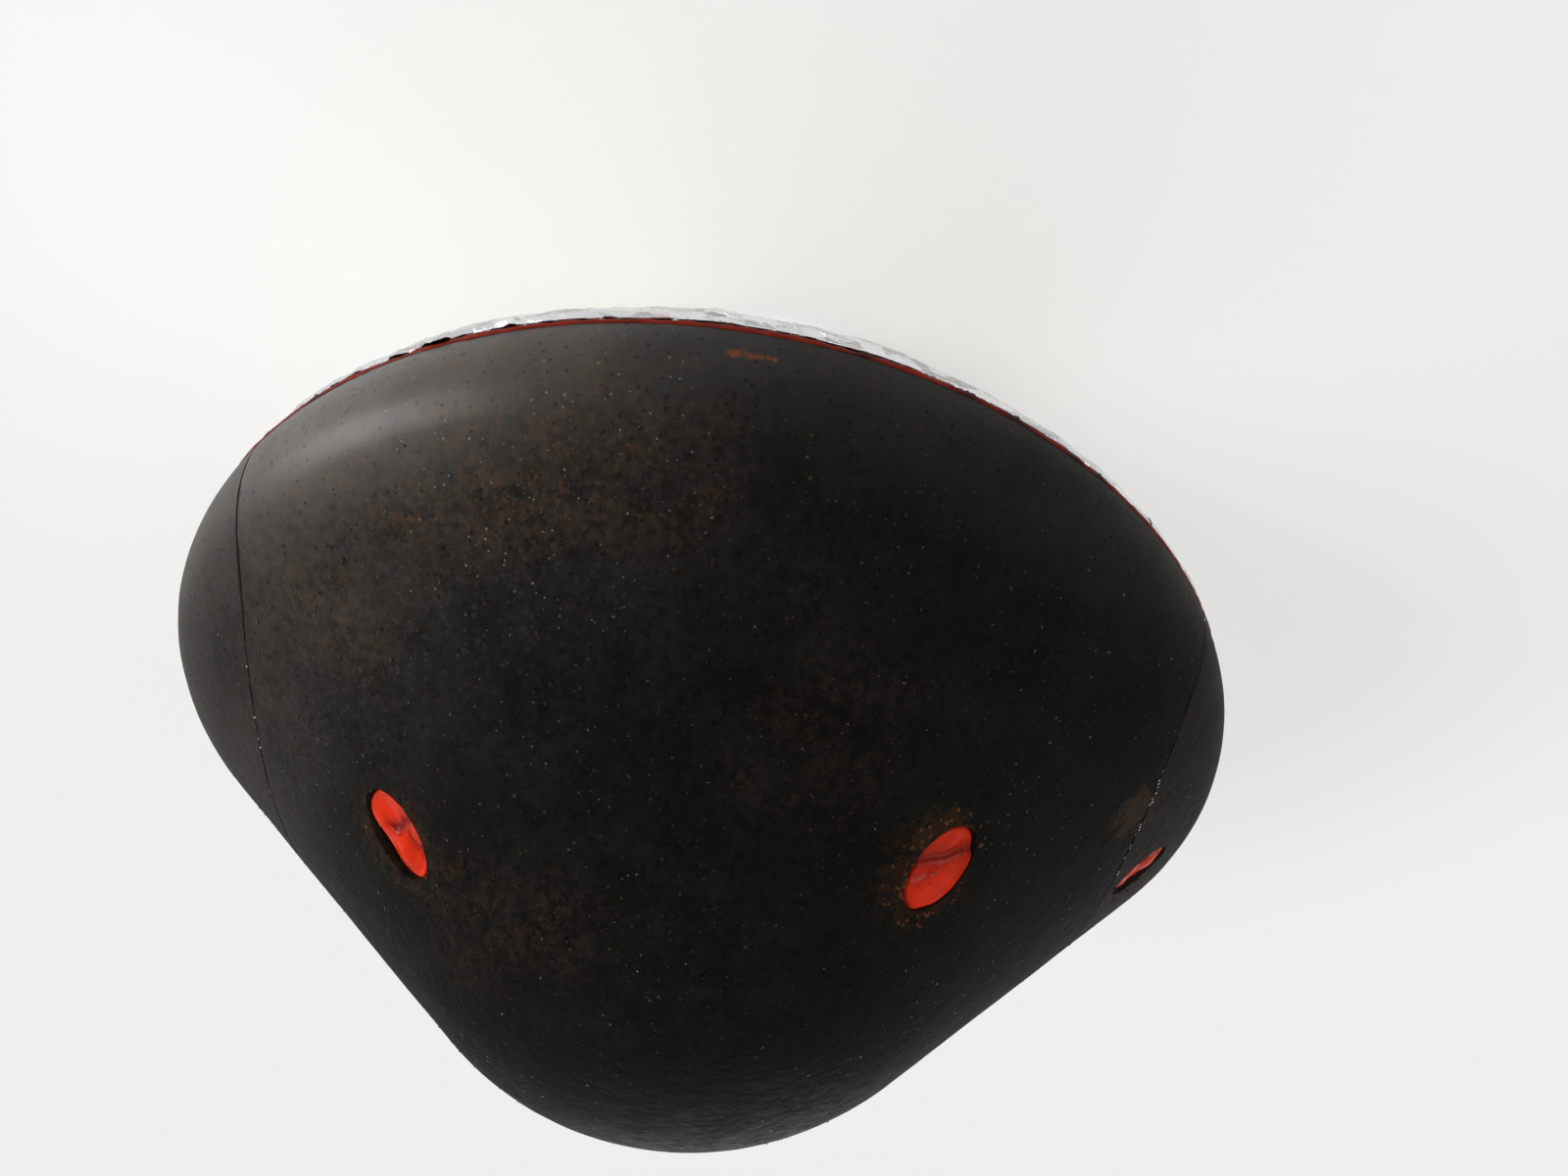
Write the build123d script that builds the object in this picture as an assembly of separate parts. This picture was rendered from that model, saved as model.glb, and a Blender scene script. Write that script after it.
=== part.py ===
from build123d import *
import math
import os

# Small uncrewed re-entry capsule, standing nose up on its aft ring.
# Millimetres, +Z up, origin at the centre of the aft face.
# An azimuth of 0 degrees points along -Y and 90 degrees along +X.

# Outer shape
overall_height = 740.0
base_radius = 450.0
shield_half_angle = 50.0
nose_radius = 270.0
shoulder_radius = 62.0
aft_radius = 222.0

# Heat shield, made of a middle block and a segment bonded on at each side, and the dish that carries it
ablator_thickness = 38.0
side_joint = 336.0
ablator_rim_inset = 45.0
seam_angle = 12.0
dish_wall = 6.0
bond_gap = 0.3

# Silicone plugs over the shield fasteners, oval and long up the slope: azimuth, then distance from the axis
plug_sites = (
    (53.0, 257.0),
    (100.0, 380.0),
    (143.0, 257.0),
    (233.0, 257.0),
    (280.0, 380.0),
    (323.0, 257.0),
)
plug_width = 42.0
plug_length = 68.0
plug_bore_depth = 16.0
plug_recess = 2.5
plug_crown = 2.5

# Seam between the shield and the backshell
seal_width = 5.0
seal_depth = 11.0
seal_proud = 1.2
band_length = 26.0
band_rebate = 1.5

# Main ring, payload deck and the heavy mass on it
main_ring_width = 54.0
main_ring_depth = 21.4
deck_landing = 18.0
deck_overhang = 1.0
deck_thickness = 20.0
deck_rib_count = 8
deck_rib_width = 6.0
deck_rib_depth = 12.0
deck_rib_start = 60.0
deck_rib_margin = 12.0
block_length = 260.0
block_height = 140.0

# Backshell and what stiffens it
backshell_wall = 12.0
panel_joints = (0.0, 120.0, 240.0)
panel_gap = 1.5
longeron_azimuths = (0.0, 60.0, 120.0, 150.0, 210.0, 240.0, 300.0)
longeron_width = 6.0
longeron_depth = 22.0
longeron_flange = 36.0
longeron_flange_wall = 4.0

# Aft ring and bulkhead
aft_ring_height = 16.0
aft_ring_inner = 150.0
aft_bolt_count = 8
aft_bolt_circle = 390.0
aft_bolt_hole = 9.0
clamp_lip = 4.5
clamp_groove_depth = 5.0
clamp_groove_flare = 3.0
bulkhead_thickness = 8.0

# Parachute can, its pack and its lid
can_radius = 111.0
can_wall = 3.0
can_height = 184.0
can_flange_radius = 145.0
can_flange_thickness = 4.0
pack_radius = 104.0
pack_length = 168.0
lid_rim_gap = 5.3
lid_seat_gap = 0.3
lid_thickness = 8.7
lid_spigot_height = 6.0
lid_edge = 1.5

# Access hatch in the backshell
hatch_azimuth = 180.0
hatch_below_edge = 146.0
hatch_width = 190.0
hatch_length = 150.0
hatch_corner = 18.0
hatch_rim_gap = 5.0
land_wall = 5.0
land_inside = 15.0
land_outside = 28.0
hatch_screw_hole = 5.5
hatch_screw_head = 10.0
hatch_screw_margin = 11.0
hatch_screws_across = 4
hatch_screws_along = 3

# Umbilical plate, vent ports and antenna windows: azimuth, then height below the backshell's edge
umbilical_site = (275.0, 150.0)
umbilical_width = 110.0
umbilical_length = 74.0
umbilical_corner = 8.0
umbilical_recess = 5.0
umbilical_plate_wall = 5.0
connector_radius = 13.0
connector_height = 4.0
connector_offset = 27.0
vent_sites = ((35.0, 205.0), (305.0, 205.0))
vent_radius = 18.0
vent_bore = 6.0
window_sites = ((330.0, 130.0), (90.0, 130.0), (222.0, 100.0))
window_radius = 45.0
window_depth = 6.0

# Heights and radii worked out from the sizes above
cone_slope = math.radians(shield_half_angle)
seam_slope = math.radians(seam_angle)
nose_centre = overall_height - nose_radius
cone_start_r = nose_radius * math.cos(cone_slope)
cone_start_z = nose_centre + nose_radius * math.sin(cone_slope)
shoulder_centre_r = base_radius - shoulder_radius
ablator_rim_radius = base_radius - ablator_rim_inset
cone_end_r = shoulder_centre_r + shoulder_radius * math.cos(cone_slope)
cone_end_z = cone_start_z - (cone_end_r - cone_start_r) / math.tan(cone_slope)
shoulder_centre_z = cone_end_z - shoulder_radius * math.sin(cone_slope)
aft_reach = math.hypot(shoulder_centre_r - aft_radius, shoulder_centre_z)
shell_lean = math.atan2(shoulder_centre_r - aft_radius, shoulder_centre_z)
shell_slope = shell_lean + math.asin(shoulder_radius / aft_reach)
shell_start_r = shoulder_centre_r + shoulder_radius * math.cos(shell_slope)
shell_start_z = shoulder_centre_z - shoulder_radius * math.sin(shell_slope)
seam_z = shoulder_centre_z - shoulder_radius * math.sin(seam_slope)
seal_z = seam_z - seal_width
ring_bottom_z = seam_z - main_ring_depth
deck_bottom_z = ring_bottom_z - deck_thickness
main_ring_inner = shell_start_r - (shell_start_z - ring_bottom_z) * math.tan(shell_slope)
main_ring_inner -= backshell_wall / math.cos(shell_slope) + main_ring_width
longeron_inset = backshell_wall + bond_gap + longeron_depth
longeron_inner = shell_start_r - (shell_start_z - deck_bottom_z) * math.tan(shell_slope)
longeron_inner -= longeron_inset / math.cos(shell_slope)
deck_radius = max(main_ring_inner + deck_landing, longeron_inner + deck_overhang)
bulkhead_top_z = aft_ring_height + bulkhead_thickness
flange_bottom_z = aft_ring_height - can_flange_thickness


def at(r, z):
    """Point of a profile in the XZ half plane."""
    return Vector(r, 0, z)


def round_from(centre_r, centre_z, radius, start, end):
    """Arc about a centre, from one angle to another in radians, measured up from +X."""
    angles = (start, (start + end) / 2, end)
    return ThreePointArc(*[at(centre_r + radius * math.cos(a), centre_z + radius * math.sin(a)) for a in angles])


def turned(*edges):
    """Solid turned about Z from a closed chain of edges."""
    return revolve(Face(Wire(edges)), axis=Axis.Z)


def turned_polygon(*points):
    """Solid turned about Z from the corners of its section."""
    return revolve(Face(Wire.make_polygon([at(r, z) for r, z in points])), axis=Axis.Z)


def shell_r(z, inset=0.0):
    """Radius of the backshell cone at a height, inset square to its surface."""
    return shell_start_r - (shell_start_z - z) * math.tan(shell_slope) - inset / math.cos(shell_slope)


def shoulder_r(z, inset=0.0):
    """Radius of the round shoulder at a height, inset square to its surface."""
    return shoulder_centre_r + math.sqrt((shoulder_radius - inset) ** 2 - (shoulder_centre_z - z) ** 2)


def azimuth_of(point):
    """Azimuth of a point in degrees, from 0 up to 360."""
    return math.degrees(math.atan2(point.X, -point.Y)) % 360


def outward(azimuth, radius, z, rise):
    """Plane on the outside at an azimuth, its normal leaning up from level by rise radians."""
    a = math.radians(azimuth)
    level = Vector(math.sin(a), -math.cos(a), 0)
    normal = level * math.cos(rise) + Vector(0, 0, math.sin(rise))
    across = Vector(math.cos(a), math.sin(a), 0)
    return Plane(origin=level * radius + Vector(0, 0, z), x_dir=across, z_dir=normal)


def on_shield(azimuth, radius):
    """Plane on the shield cone, at a distance from the axis."""
    z = cone_start_z - (radius - cone_start_r) / math.tan(cone_slope)
    return outward(azimuth, radius, z, cone_slope)


def on_backshell(azimuth, below_edge):
    """Plane on the backshell cone, at a height below its upper edge."""
    z = shell_start_z - below_edge
    return outward(azimuth, shell_r(z), z, -shell_slope)


def post(plane, radius, low, high):
    """Round post along a plane's normal, from one depth to another."""
    return plane * Pos(0, 0, low) * Cylinder(radius, high - low, align=(Align.CENTER, Align.CENTER, Align.MIN))


def oval_post(plane, width, length, low, high):
    """Oval post along a plane's normal, from one depth to another."""
    return plane * Pos(0, 0, low) * extrude(Ellipse(width / 2, length / 2), amount=high - low)


def pad(plane, width, length, corner, low, high):
    """Rectangular post with rounded corners along a plane's normal."""
    return plane * Pos(0, 0, low) * extrude(RectangleRounded(width, length, corner), amount=high - low)


def ablator():
    """Thick ablator before it is divided: round nose, cone and shoulder, with a counterbore for each plug."""
    inner_nose = nose_radius - ablator_thickness
    inner_r = inner_nose * math.cos(cone_slope)
    inner_z = nose_centre + inner_nose * math.sin(cone_slope)
    rim_z = inner_z - (ablator_rim_radius - inner_r) / math.tan(cone_slope)
    seam_r = shoulder_r(seam_z)
    body = turned(
        round_from(0, nose_centre, nose_radius, math.pi / 2, cone_slope),
        Line(at(cone_start_r, cone_start_z), at(cone_end_r, cone_end_z)),
        round_from(shoulder_centre_r, shoulder_centre_z, shoulder_radius, cone_slope, -seam_slope),
        Line(at(seam_r, seam_z), at(ablator_rim_radius, seam_z)),
        Line(at(ablator_rim_radius, seam_z), at(ablator_rim_radius, rim_z)),
        Line(at(ablator_rim_radius, rim_z), at(inner_r, inner_z)),
        round_from(0, nose_centre, inner_nose, cone_slope, math.pi / 2),
        Line(at(0, nose_centre + inner_nose), at(0, overall_height)),
    )
    for azimuth, radius in plug_sites:
        body -= oval_post(on_shield(azimuth, radius), plug_width, plug_length, -plug_bore_depth, plug_bore_depth)
    return body


def heat_shield(whole):
    """Middle block of the ablator, between the two joints."""
    return whole & Box(2 * side_joint, 4 * base_radius, 4 * overall_height)


def shield_side(whole, side):
    """Segment of the ablator beyond a joint, towards +X for a side of 1 and towards -X for a side of -1."""
    middle = side * (side_joint + bond_gap + base_radius / 2)
    return whole & (Pos(middle, 0, 0) * Box(base_radius, 4 * base_radius, 4 * overall_height))


def shield_dish():
    """Thin dish that the ablator is bonded to."""
    depth = ablator_thickness + bond_gap
    outer_nose = nose_radius - depth
    inner_nose = outer_nose - dish_wall
    rim_r = ablator_rim_radius - bond_gap
    corners = []
    for radius, rim in ((outer_nose, rim_r), (inner_nose, rim_r - dish_wall)):
        start = (radius * math.cos(cone_slope), nose_centre + radius * math.sin(cone_slope))
        end_z = start[1] - (rim - start[0]) / math.tan(cone_slope)
        corners.append((radius, start, (rim, end_z)))
    (outer_nose, outer_start, outer_end), (inner_nose, inner_start, inner_end) = corners
    return turned(
        round_from(0, nose_centre, outer_nose, math.pi / 2, cone_slope),
        Line(at(*outer_start), at(*outer_end)),
        Line(at(*outer_end), at(outer_end[0], seam_z)),
        Line(at(outer_end[0], seam_z), at(inner_end[0], seam_z)),
        Line(at(inner_end[0], seam_z), at(*inner_end)),
        Line(at(*inner_end), at(*inner_start)),
        round_from(0, nose_centre, inner_nose, cone_slope, math.pi / 2),
        Line(at(0, nose_centre + inner_nose), at(0, nose_centre + outer_nose)),
    )


def plug(azimuth, radius):
    """Silicone plug, a little below the surface, with a softened top edge."""
    place = on_shield(azimuth, radius)
    width, length = plug_width - 2 * bond_gap, plug_length - 2 * bond_gap
    body = oval_post(place, width, length, -plug_bore_depth, -plug_recess)
    top = body.edges().filter_by(GeomType.ELLIPSE).sort_by(Axis(place.origin, place.z_dir))[-1]
    return fillet(top, plug_crown)


def seam_seal():
    """Bead of silicone in the gap under the shield's edge, a little proud of the shoulder."""
    inner_r = shoulder_r(seal_z) - seal_depth
    middle_z = (seam_z + seal_z) / 2
    low = at(shoulder_r(seal_z), seal_z)
    high = at(shoulder_r(seam_z) - bond_gap, seam_z)
    return turned(
        Line(at(inner_r, seal_z), low),
        ThreePointArc(low, at(shoulder_r(middle_z) + seal_proud, middle_z), high),
        Line(high, at(inner_r, seam_z)),
        Line(at(inner_r, seam_z), at(inner_r, seal_z)),
    )


def shell_edge(inset, low_z):
    """Edges of the backshell's outside, from the seal down to a height, at an inset."""
    radius = shoulder_radius - inset
    start = -math.asin((shoulder_centre_z - seal_z) / radius)
    turn_z = shoulder_centre_z - radius * math.sin(shell_slope)
    turn_r = shoulder_centre_r + radius * math.cos(shell_slope)
    return [
        round_from(shoulder_centre_r, shoulder_centre_z, radius, start, -shell_slope),
        Line(at(turn_r, turn_z), at(shell_r(low_z, inset), low_z)),
    ]


def backshell_blank():
    """Backshell wall before its cut-outs, with a rebate for the edge band."""
    band_low_z = shell_start_z - band_length
    inner = shell_edge(backshell_wall, aft_ring_height)
    outer = shell_edge(band_rebate, band_low_z)
    return turned(
        *outer,
        Line(at(shell_r(band_low_z, band_rebate), band_low_z), at(shell_r(band_low_z), band_low_z)),
        Line(at(shell_r(band_low_z), band_low_z), at(shell_r(aft_ring_height), aft_ring_height)),
        Line(
            at(shell_r(aft_ring_height), aft_ring_height),
            at(shell_r(aft_ring_height, backshell_wall), aft_ring_height),
        ),
        *inner,
        Line(at(shoulder_r(seal_z, backshell_wall), seal_z), at(shoulder_r(seal_z, band_rebate), seal_z)),
    )


def hatch_opening(extra, low, high):
    """Post with the hatch's outline, widened all round."""
    plane = on_backshell(hatch_azimuth, hatch_below_edge)
    corner = max(hatch_corner + extra, 2.0)
    return pad(plane, hatch_width + 2 * extra, hatch_length + 2 * extra, corner, low, high)


def umbilical_opening(extra, low, high):
    """Post with the umbilical plate's outline, widened all round."""
    plane = on_backshell(*umbilical_site)
    return pad(plane, umbilical_width + 2 * extra, umbilical_length + 2 * extra, umbilical_corner, low, high)


def backshell_panels(blank):
    """Backshell with its openings and window seats, cut into panels at the joints."""
    through = 3 * backshell_wall
    body = blank - hatch_opening(hatch_rim_gap, -through, through)
    body -= umbilical_opening(bond_gap, -through, through)
    for site in vent_sites:
        body -= post(on_backshell(*site), vent_radius + bond_gap, -through, through)
    for site in window_sites:
        body -= post(on_backshell(*site), window_radius + bond_gap, -window_depth, through)
    reach = 2 * base_radius
    slot = Box(reach, panel_gap, 2 * overall_height, align=(Align.MIN, Align.CENTER, Align.CENTER))
    for azimuth in panel_joints:
        body -= Rot(0, 0, azimuth - 90) * slot
    return sorted(body.solids(), key=lambda panel: azimuth_of(panel.center()))


def hatch_screw_sites():
    """Places of the screws round the edge of the hatch, on its own plane."""
    half_x = hatch_width / 2 - hatch_screw_margin
    half_y = hatch_length / 2 - hatch_screw_margin
    across = [-half_x + number * 2 * half_x / (hatch_screws_across - 1) for number in range(hatch_screws_across)]
    along = [-half_y + number * 2 * half_y / (hatch_screws_along - 1) for number in range(hatch_screws_along)]
    rows = [(x, y) for x in across for y in (-half_y, half_y)]
    return rows + [(x, y) for x in (-half_x, half_x) for y in along[1:-1]]


def access_hatch(blank):
    """Curved panel cut from the backshell wall, with countersunk screw holes round its edge."""
    body = blank & hatch_opening(0, -3 * backshell_wall, 3 * backshell_wall)
    plane = on_backshell(hatch_azimuth, hatch_below_edge)
    for x, y in hatch_screw_sites():
        drop = shell_start_r - math.sqrt(shell_start_r**2 - x**2)
        site = plane * Pos(x, y, -drop * math.cos(shell_slope))
        body -= post(site, hatch_screw_hole / 2, -2 * backshell_wall, 2 * backshell_wall)
        body -= post(site, hatch_screw_head / 2, -hatch_screw_head / 4, 2 * backshell_wall)
    return body


def hatch_land():
    """Frame behind the hatch, which the panel rests on."""
    hatch_z = shell_start_z - hatch_below_edge
    low_z = hatch_z - hatch_length
    high_z = hatch_z + hatch_length
    near = backshell_wall + bond_gap
    far = near + land_wall
    layer = turned_polygon(
        (shell_r(low_z, near), low_z),
        (shell_r(high_z, near), high_z),
        (shell_r(high_z, far), high_z),
        (shell_r(low_z, far), low_z),
    )
    deep = 6 * backshell_wall
    return (layer & hatch_opening(land_outside, -deep, deep)) - hatch_opening(-land_inside, -deep, deep)


def edge_band():
    """Film-covered strip round the backshell's upper edge."""
    band_low_z = shell_start_z - band_length + bond_gap
    under = shell_edge(band_rebate - bond_gap, band_low_z)
    over = shell_edge(0, band_low_z)
    return turned(
        *over,
        Line(at(shell_r(band_low_z), band_low_z), at(shell_r(band_low_z, band_rebate - bond_gap), band_low_z)),
        *under,
        Line(at(shoulder_r(seal_z, band_rebate - bond_gap), seal_z), at(shoulder_r(seal_z), seal_z)),
    )


def main_ring():
    """Ring at the shoulder that joins the shield, the deck and the backshell."""
    inset = backshell_wall + bond_gap
    outer_r = shoulder_r(seal_z, inset)
    return turned_polygon(
        (main_ring_inner, ring_bottom_z),
        (shell_r(ring_bottom_z, inset), ring_bottom_z),
        (outer_r, seal_z),
        (outer_r, seam_z),
        (main_ring_inner, seam_z),
    )


def payload_deck():
    """Round deck with radial ribs below it."""
    on_floor = (Align.CENTER, Align.CENTER, Align.MIN)
    body = Pos(0, 0, deck_bottom_z) * Cylinder(deck_radius, deck_thickness, align=on_floor)
    rib_end = deck_radius - longeron_depth - deck_rib_margin
    length = rib_end - deck_rib_start
    middle = (rib_end + deck_rib_start) / 2
    rib = Pos(middle, 0, deck_bottom_z - deck_rib_depth) * Box(length, deck_rib_width, deck_rib_depth, align=on_floor)
    for number in range(deck_rib_count):
        body += Rot(0, 0, (number + 0.5) * 360 / deck_rib_count) * rib
    hub = Cylinder(deck_rib_start + deck_rib_width, deck_rib_depth, align=on_floor)
    return body + Pos(0, 0, deck_bottom_z - deck_rib_depth) * hub


def payload_block():
    """Plain block for the payload and the equipment on the deck."""
    return Pos(0, 0, ring_bottom_z) * Box(
        block_length, block_length, block_height, align=(Align.CENTER, Align.CENTER, Align.MIN)
    )


def longerons():
    """T-shaped stiffeners on the inside of the backshell, from the bulkhead to the deck."""
    near = backshell_wall + bond_gap
    flange_far = near + longeron_flange_wall
    flange_layer = turned_polygon(*longeron_section(near, flange_far))
    web = extrude(
        Face(Wire.make_polygon([at(r, z) for r, z in longeron_section(flange_far - bond_gap, near + longeron_depth)])),
        amount=longeron_width / 2,
        both=True,
    )
    reach = 2 * base_radius
    strip = Box(reach, longeron_flange, 2 * overall_height, align=(Align.MIN, Align.CENTER, Align.CENTER))
    return [
        Rot(0, 0, azimuth - 90) * ((flange_layer & strip) + web)
        for azimuth in longeron_azimuths
    ]


def longeron_section(near, far):
    """Corners of a layer inside the backshell between two insets, from the bulkhead to the deck."""
    return [
        (shell_r(bulkhead_top_z, near), bulkhead_top_z),
        (shell_r(deck_bottom_z, near), deck_bottom_z),
        (shell_r(deck_bottom_z, far), deck_bottom_z),
        (shell_r(bulkhead_top_z, far), bulkhead_top_z),
    ]


def aft_ring():
    """Ring that the capsule stands on, with a groove for a clamp band and a circle of bolt holes."""
    groove_low = clamp_lip + clamp_groove_flare
    groove_high = aft_ring_height - clamp_groove_flare
    body = turned_polygon(
        (aft_ring_inner, 0),
        (shell_r(0), 0),
        (shell_r(clamp_lip), clamp_lip),
        (shell_r(clamp_lip) - clamp_groove_depth, groove_low),
        (shell_r(clamp_lip) - clamp_groove_depth, groove_high),
        (shell_r(aft_ring_height), aft_ring_height),
        (aft_ring_inner, aft_ring_height),
    )
    for number in range(aft_bolt_count):
        turn = Rot(0, 0, (number + 0.5) * 360 / aft_bolt_count)
        body -= turn * Pos(aft_bolt_circle / 2, 0, 0) * Cylinder(aft_bolt_hole / 2, 4 * aft_ring_height)
    return body


def aft_bulkhead():
    """Flat plate on the aft ring, round the parachute can."""
    return turned_polygon(
        (can_radius + bond_gap, aft_ring_height),
        (shell_r(aft_ring_height, backshell_wall) - bond_gap, aft_ring_height),
        (shell_r(aft_ring_height, backshell_wall) - bond_gap, bulkhead_top_z),
        (can_radius + bond_gap, bulkhead_top_z),
    )


def parachute_can():
    """Can open downwards, with a flange under the bulkhead."""
    top_z = aft_ring_height + can_height
    return turned_polygon(
        (0, top_z),
        (can_radius, top_z),
        (can_radius, aft_ring_height),
        (can_flange_radius, aft_ring_height),
        (can_flange_radius, flange_bottom_z),
        (can_radius - can_wall, flange_bottom_z),
        (can_radius - can_wall, top_z - can_wall),
        (0, top_z - can_wall),
    )


def parachute_pack():
    """Folded parachute, a plain closed solid inside the can."""
    top_z = aft_ring_height + can_height - can_wall - bond_gap
    return turned_polygon((0, top_z - pack_length), (pack_radius, top_z - pack_length), (pack_radius, top_z), (0, top_z))


def parachute_lid():
    """Lid in the recess of the aft ring, with a spigot in the can's mouth."""
    seat_z = flange_bottom_z - lid_seat_gap
    rim_r = aft_ring_inner - lid_rim_gap
    spigot_r = can_radius - can_wall - lid_rim_gap
    low_z = seat_z - lid_thickness
    return turned_polygon(
        (0, low_z),
        (rim_r - lid_edge, low_z),
        (rim_r, low_z + lid_edge),
        (rim_r, seat_z),
        (spigot_r, seat_z),
        (spigot_r, seat_z + lid_spigot_height),
        (0, seat_z + lid_spigot_height),
    )


def umbilical_plate():
    """Recessed plate with two round connectors."""
    plane = on_backshell(*umbilical_site)
    face_depth = -umbilical_recess
    body = umbilical_opening(0, face_depth - umbilical_plate_wall, face_depth)
    for side in (-1, 1):
        site = plane * Pos(side * connector_offset, 0, 0)
        body += post(site, connector_radius, face_depth, face_depth + connector_height)
    return body


def vent_port(site, cone):
    """Round port flush with the cone, with its bore."""
    plane = on_backshell(*site)
    body = post(plane, vent_radius, -backshell_wall, backshell_wall) & cone
    return body - post(plane, vent_bore, -2 * backshell_wall, 2 * backshell_wall)


def antenna_window(site, cone):
    """Round window flush with the cone."""
    return post(on_backshell(*site), window_radius, -window_depth, window_depth) & cone


def nodes():
    """Every node's name and its solid or solids."""
    blank = backshell_blank()
    whole = ablator()
    cone = turned_polygon((0, 0), (shell_r(0), 0), (shell_start_r, shell_start_z), (0, shell_start_z))
    made = {
        "heat_shield": heat_shield(whole),
        "shield_side_1": shield_side(whole, 1),
        "shield_side_2": shield_side(whole, -1),
        "shield_dish": shield_dish(),
        "seam_seal": seam_seal(),
        "edge_band": edge_band(),
        "main_ring": main_ring(),
        "payload_deck": payload_deck(),
        "payload_block": payload_block(),
        "longerons": Compound(children=longerons()),
        "hatch_land": hatch_land(),
        "access_hatch": access_hatch(blank),
        "aft_ring": aft_ring(),
        "aft_bulkhead": aft_bulkhead(),
        "parachute_can": parachute_can(),
        "parachute_pack": parachute_pack(),
        "parachute_lid": parachute_lid(),
        "umbilical_plate": umbilical_plate(),
    }
    for number, panel in enumerate(backshell_panels(blank), 1):
        made[f"backshell_panel_{number}"] = panel
    for number, site in enumerate(plug_sites, 1):
        made[f"shield_plug_{number}"] = plug(*site)
    for number, site in enumerate(vent_sites, 1):
        made[f"vent_port_{number}"] = vent_port(site, cone)
    for number, site in enumerate(window_sites, 1):
        made[f"antenna_window_{number}"] = antenna_window(site, cone)
    return made


os.makedirs("parts", exist_ok=True)
for name, shape in nodes().items():
    export_step(shape, f"parts/{name}.step")
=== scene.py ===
import math
import random

import bmesh
import bpy
from mathutils import Matrix, Vector, noise


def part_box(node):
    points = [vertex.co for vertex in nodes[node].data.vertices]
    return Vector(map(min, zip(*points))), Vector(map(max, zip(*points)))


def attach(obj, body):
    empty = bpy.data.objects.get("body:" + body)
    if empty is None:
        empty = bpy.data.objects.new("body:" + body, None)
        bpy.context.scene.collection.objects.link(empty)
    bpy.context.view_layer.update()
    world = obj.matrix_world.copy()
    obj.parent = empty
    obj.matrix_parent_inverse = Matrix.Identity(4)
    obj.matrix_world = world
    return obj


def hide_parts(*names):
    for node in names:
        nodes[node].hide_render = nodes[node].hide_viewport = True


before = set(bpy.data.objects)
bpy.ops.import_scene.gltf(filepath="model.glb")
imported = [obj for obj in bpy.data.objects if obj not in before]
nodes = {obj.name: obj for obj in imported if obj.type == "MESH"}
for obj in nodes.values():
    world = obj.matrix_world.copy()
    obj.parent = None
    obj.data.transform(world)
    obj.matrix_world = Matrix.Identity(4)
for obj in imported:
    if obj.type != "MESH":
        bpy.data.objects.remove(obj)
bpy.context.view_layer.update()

# Sizes of the capsule in metres, as its construction has them
MM = 0.001
OVERALL_HEIGHT = 0.740
BASE_RADIUS = 0.450
NOSE_RADIUS = 0.270
SHOULDER_RADIUS = 0.062
AFT_RADIUS = 0.222
CONE_SLOPE = math.radians(50)
SEAM_SLOPE = math.radians(12)
ABLATOR_THICKNESS = 0.038
ABLATOR_RIM_RADIUS = 0.405
SIDE_JOINT = 0.336
PLUG_SITES = ((53, 0.257), (100, 0.380), (143, 0.257), (233, 0.257), (280, 0.380), (323, 0.257))
SEAL_WIDTH = 0.005
BAND_LENGTH = 0.026
BACKSHELL_WALL = 0.012
GLUE_GAP = 0.0003
FLANGE = 0.004
PANEL_JOINTS = (0, 120, 240)
LONGERON_AZIMUTHS = (0, 60, 120, 150, 210, 240, 300)
SCREW_PITCH = 0.0365
HATCH_SITE = (180, 0.146)
HATCH_SIZE = (0.190, 0.150)
HATCH_CORNER = 0.018
UMBILICAL_SITE = (275, 0.150)
VENT_SITES = ((35, 0.205), (305, 0.205))
WINDOW_SITES = ((330, 0.130), (90, 0.130), (222, 0.100))
WINDOW_RADIUS = 0.045

# Sizes of the plugs in mm
PLUG_HALF_WIDTH = 21.0
PLUG_HALF_LENGTH = 34.0
PLUG_BORE_DEPTH = 16.0

# Heights and radii worked out from the sizes
NOSE_CENTRE = OVERALL_HEIGHT - NOSE_RADIUS
CONE_START_R = NOSE_RADIUS * math.cos(CONE_SLOPE)
CONE_START_Z = NOSE_CENTRE + NOSE_RADIUS * math.sin(CONE_SLOPE)
SHOULDER_R = BASE_RADIUS - SHOULDER_RADIUS
CONE_END_R = SHOULDER_R + SHOULDER_RADIUS * math.cos(CONE_SLOPE)
CONE_END_Z = CONE_START_Z - (CONE_END_R - CONE_START_R) / math.tan(CONE_SLOPE)
SHOULDER_Z = CONE_END_Z - SHOULDER_RADIUS * math.sin(CONE_SLOPE)
SHELL_REACH = math.hypot(SHOULDER_R - AFT_RADIUS, SHOULDER_Z)
SHELL_SLOPE = math.atan2(SHOULDER_R - AFT_RADIUS, SHOULDER_Z) + math.asin(SHOULDER_RADIUS / SHELL_REACH)
SHELL_START_R = SHOULDER_R + SHOULDER_RADIUS * math.cos(SHELL_SLOPE)
SHELL_START_Z = SHOULDER_Z - SHOULDER_RADIUS * math.sin(SHELL_SLOPE)
SEAM_Z = SHOULDER_Z - SHOULDER_RADIUS * math.sin(SEAM_SLOPE)
SEAM_R = SHOULDER_R + SHOULDER_RADIUS * math.cos(SEAM_SLOPE)
SEAL_Z = SEAM_Z - SEAL_WIDTH

# Camera, at the photograph's viewing angle: near the nose, upside down
CAMERA_PLACE = Vector((0, -0.7677, 0.9239))
CAMERA_YAW = -0.167
CAMERA_PITCH = -0.704
CAMERA_ROLL = 3.19
CAMERA_LENS = 22.12


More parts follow.
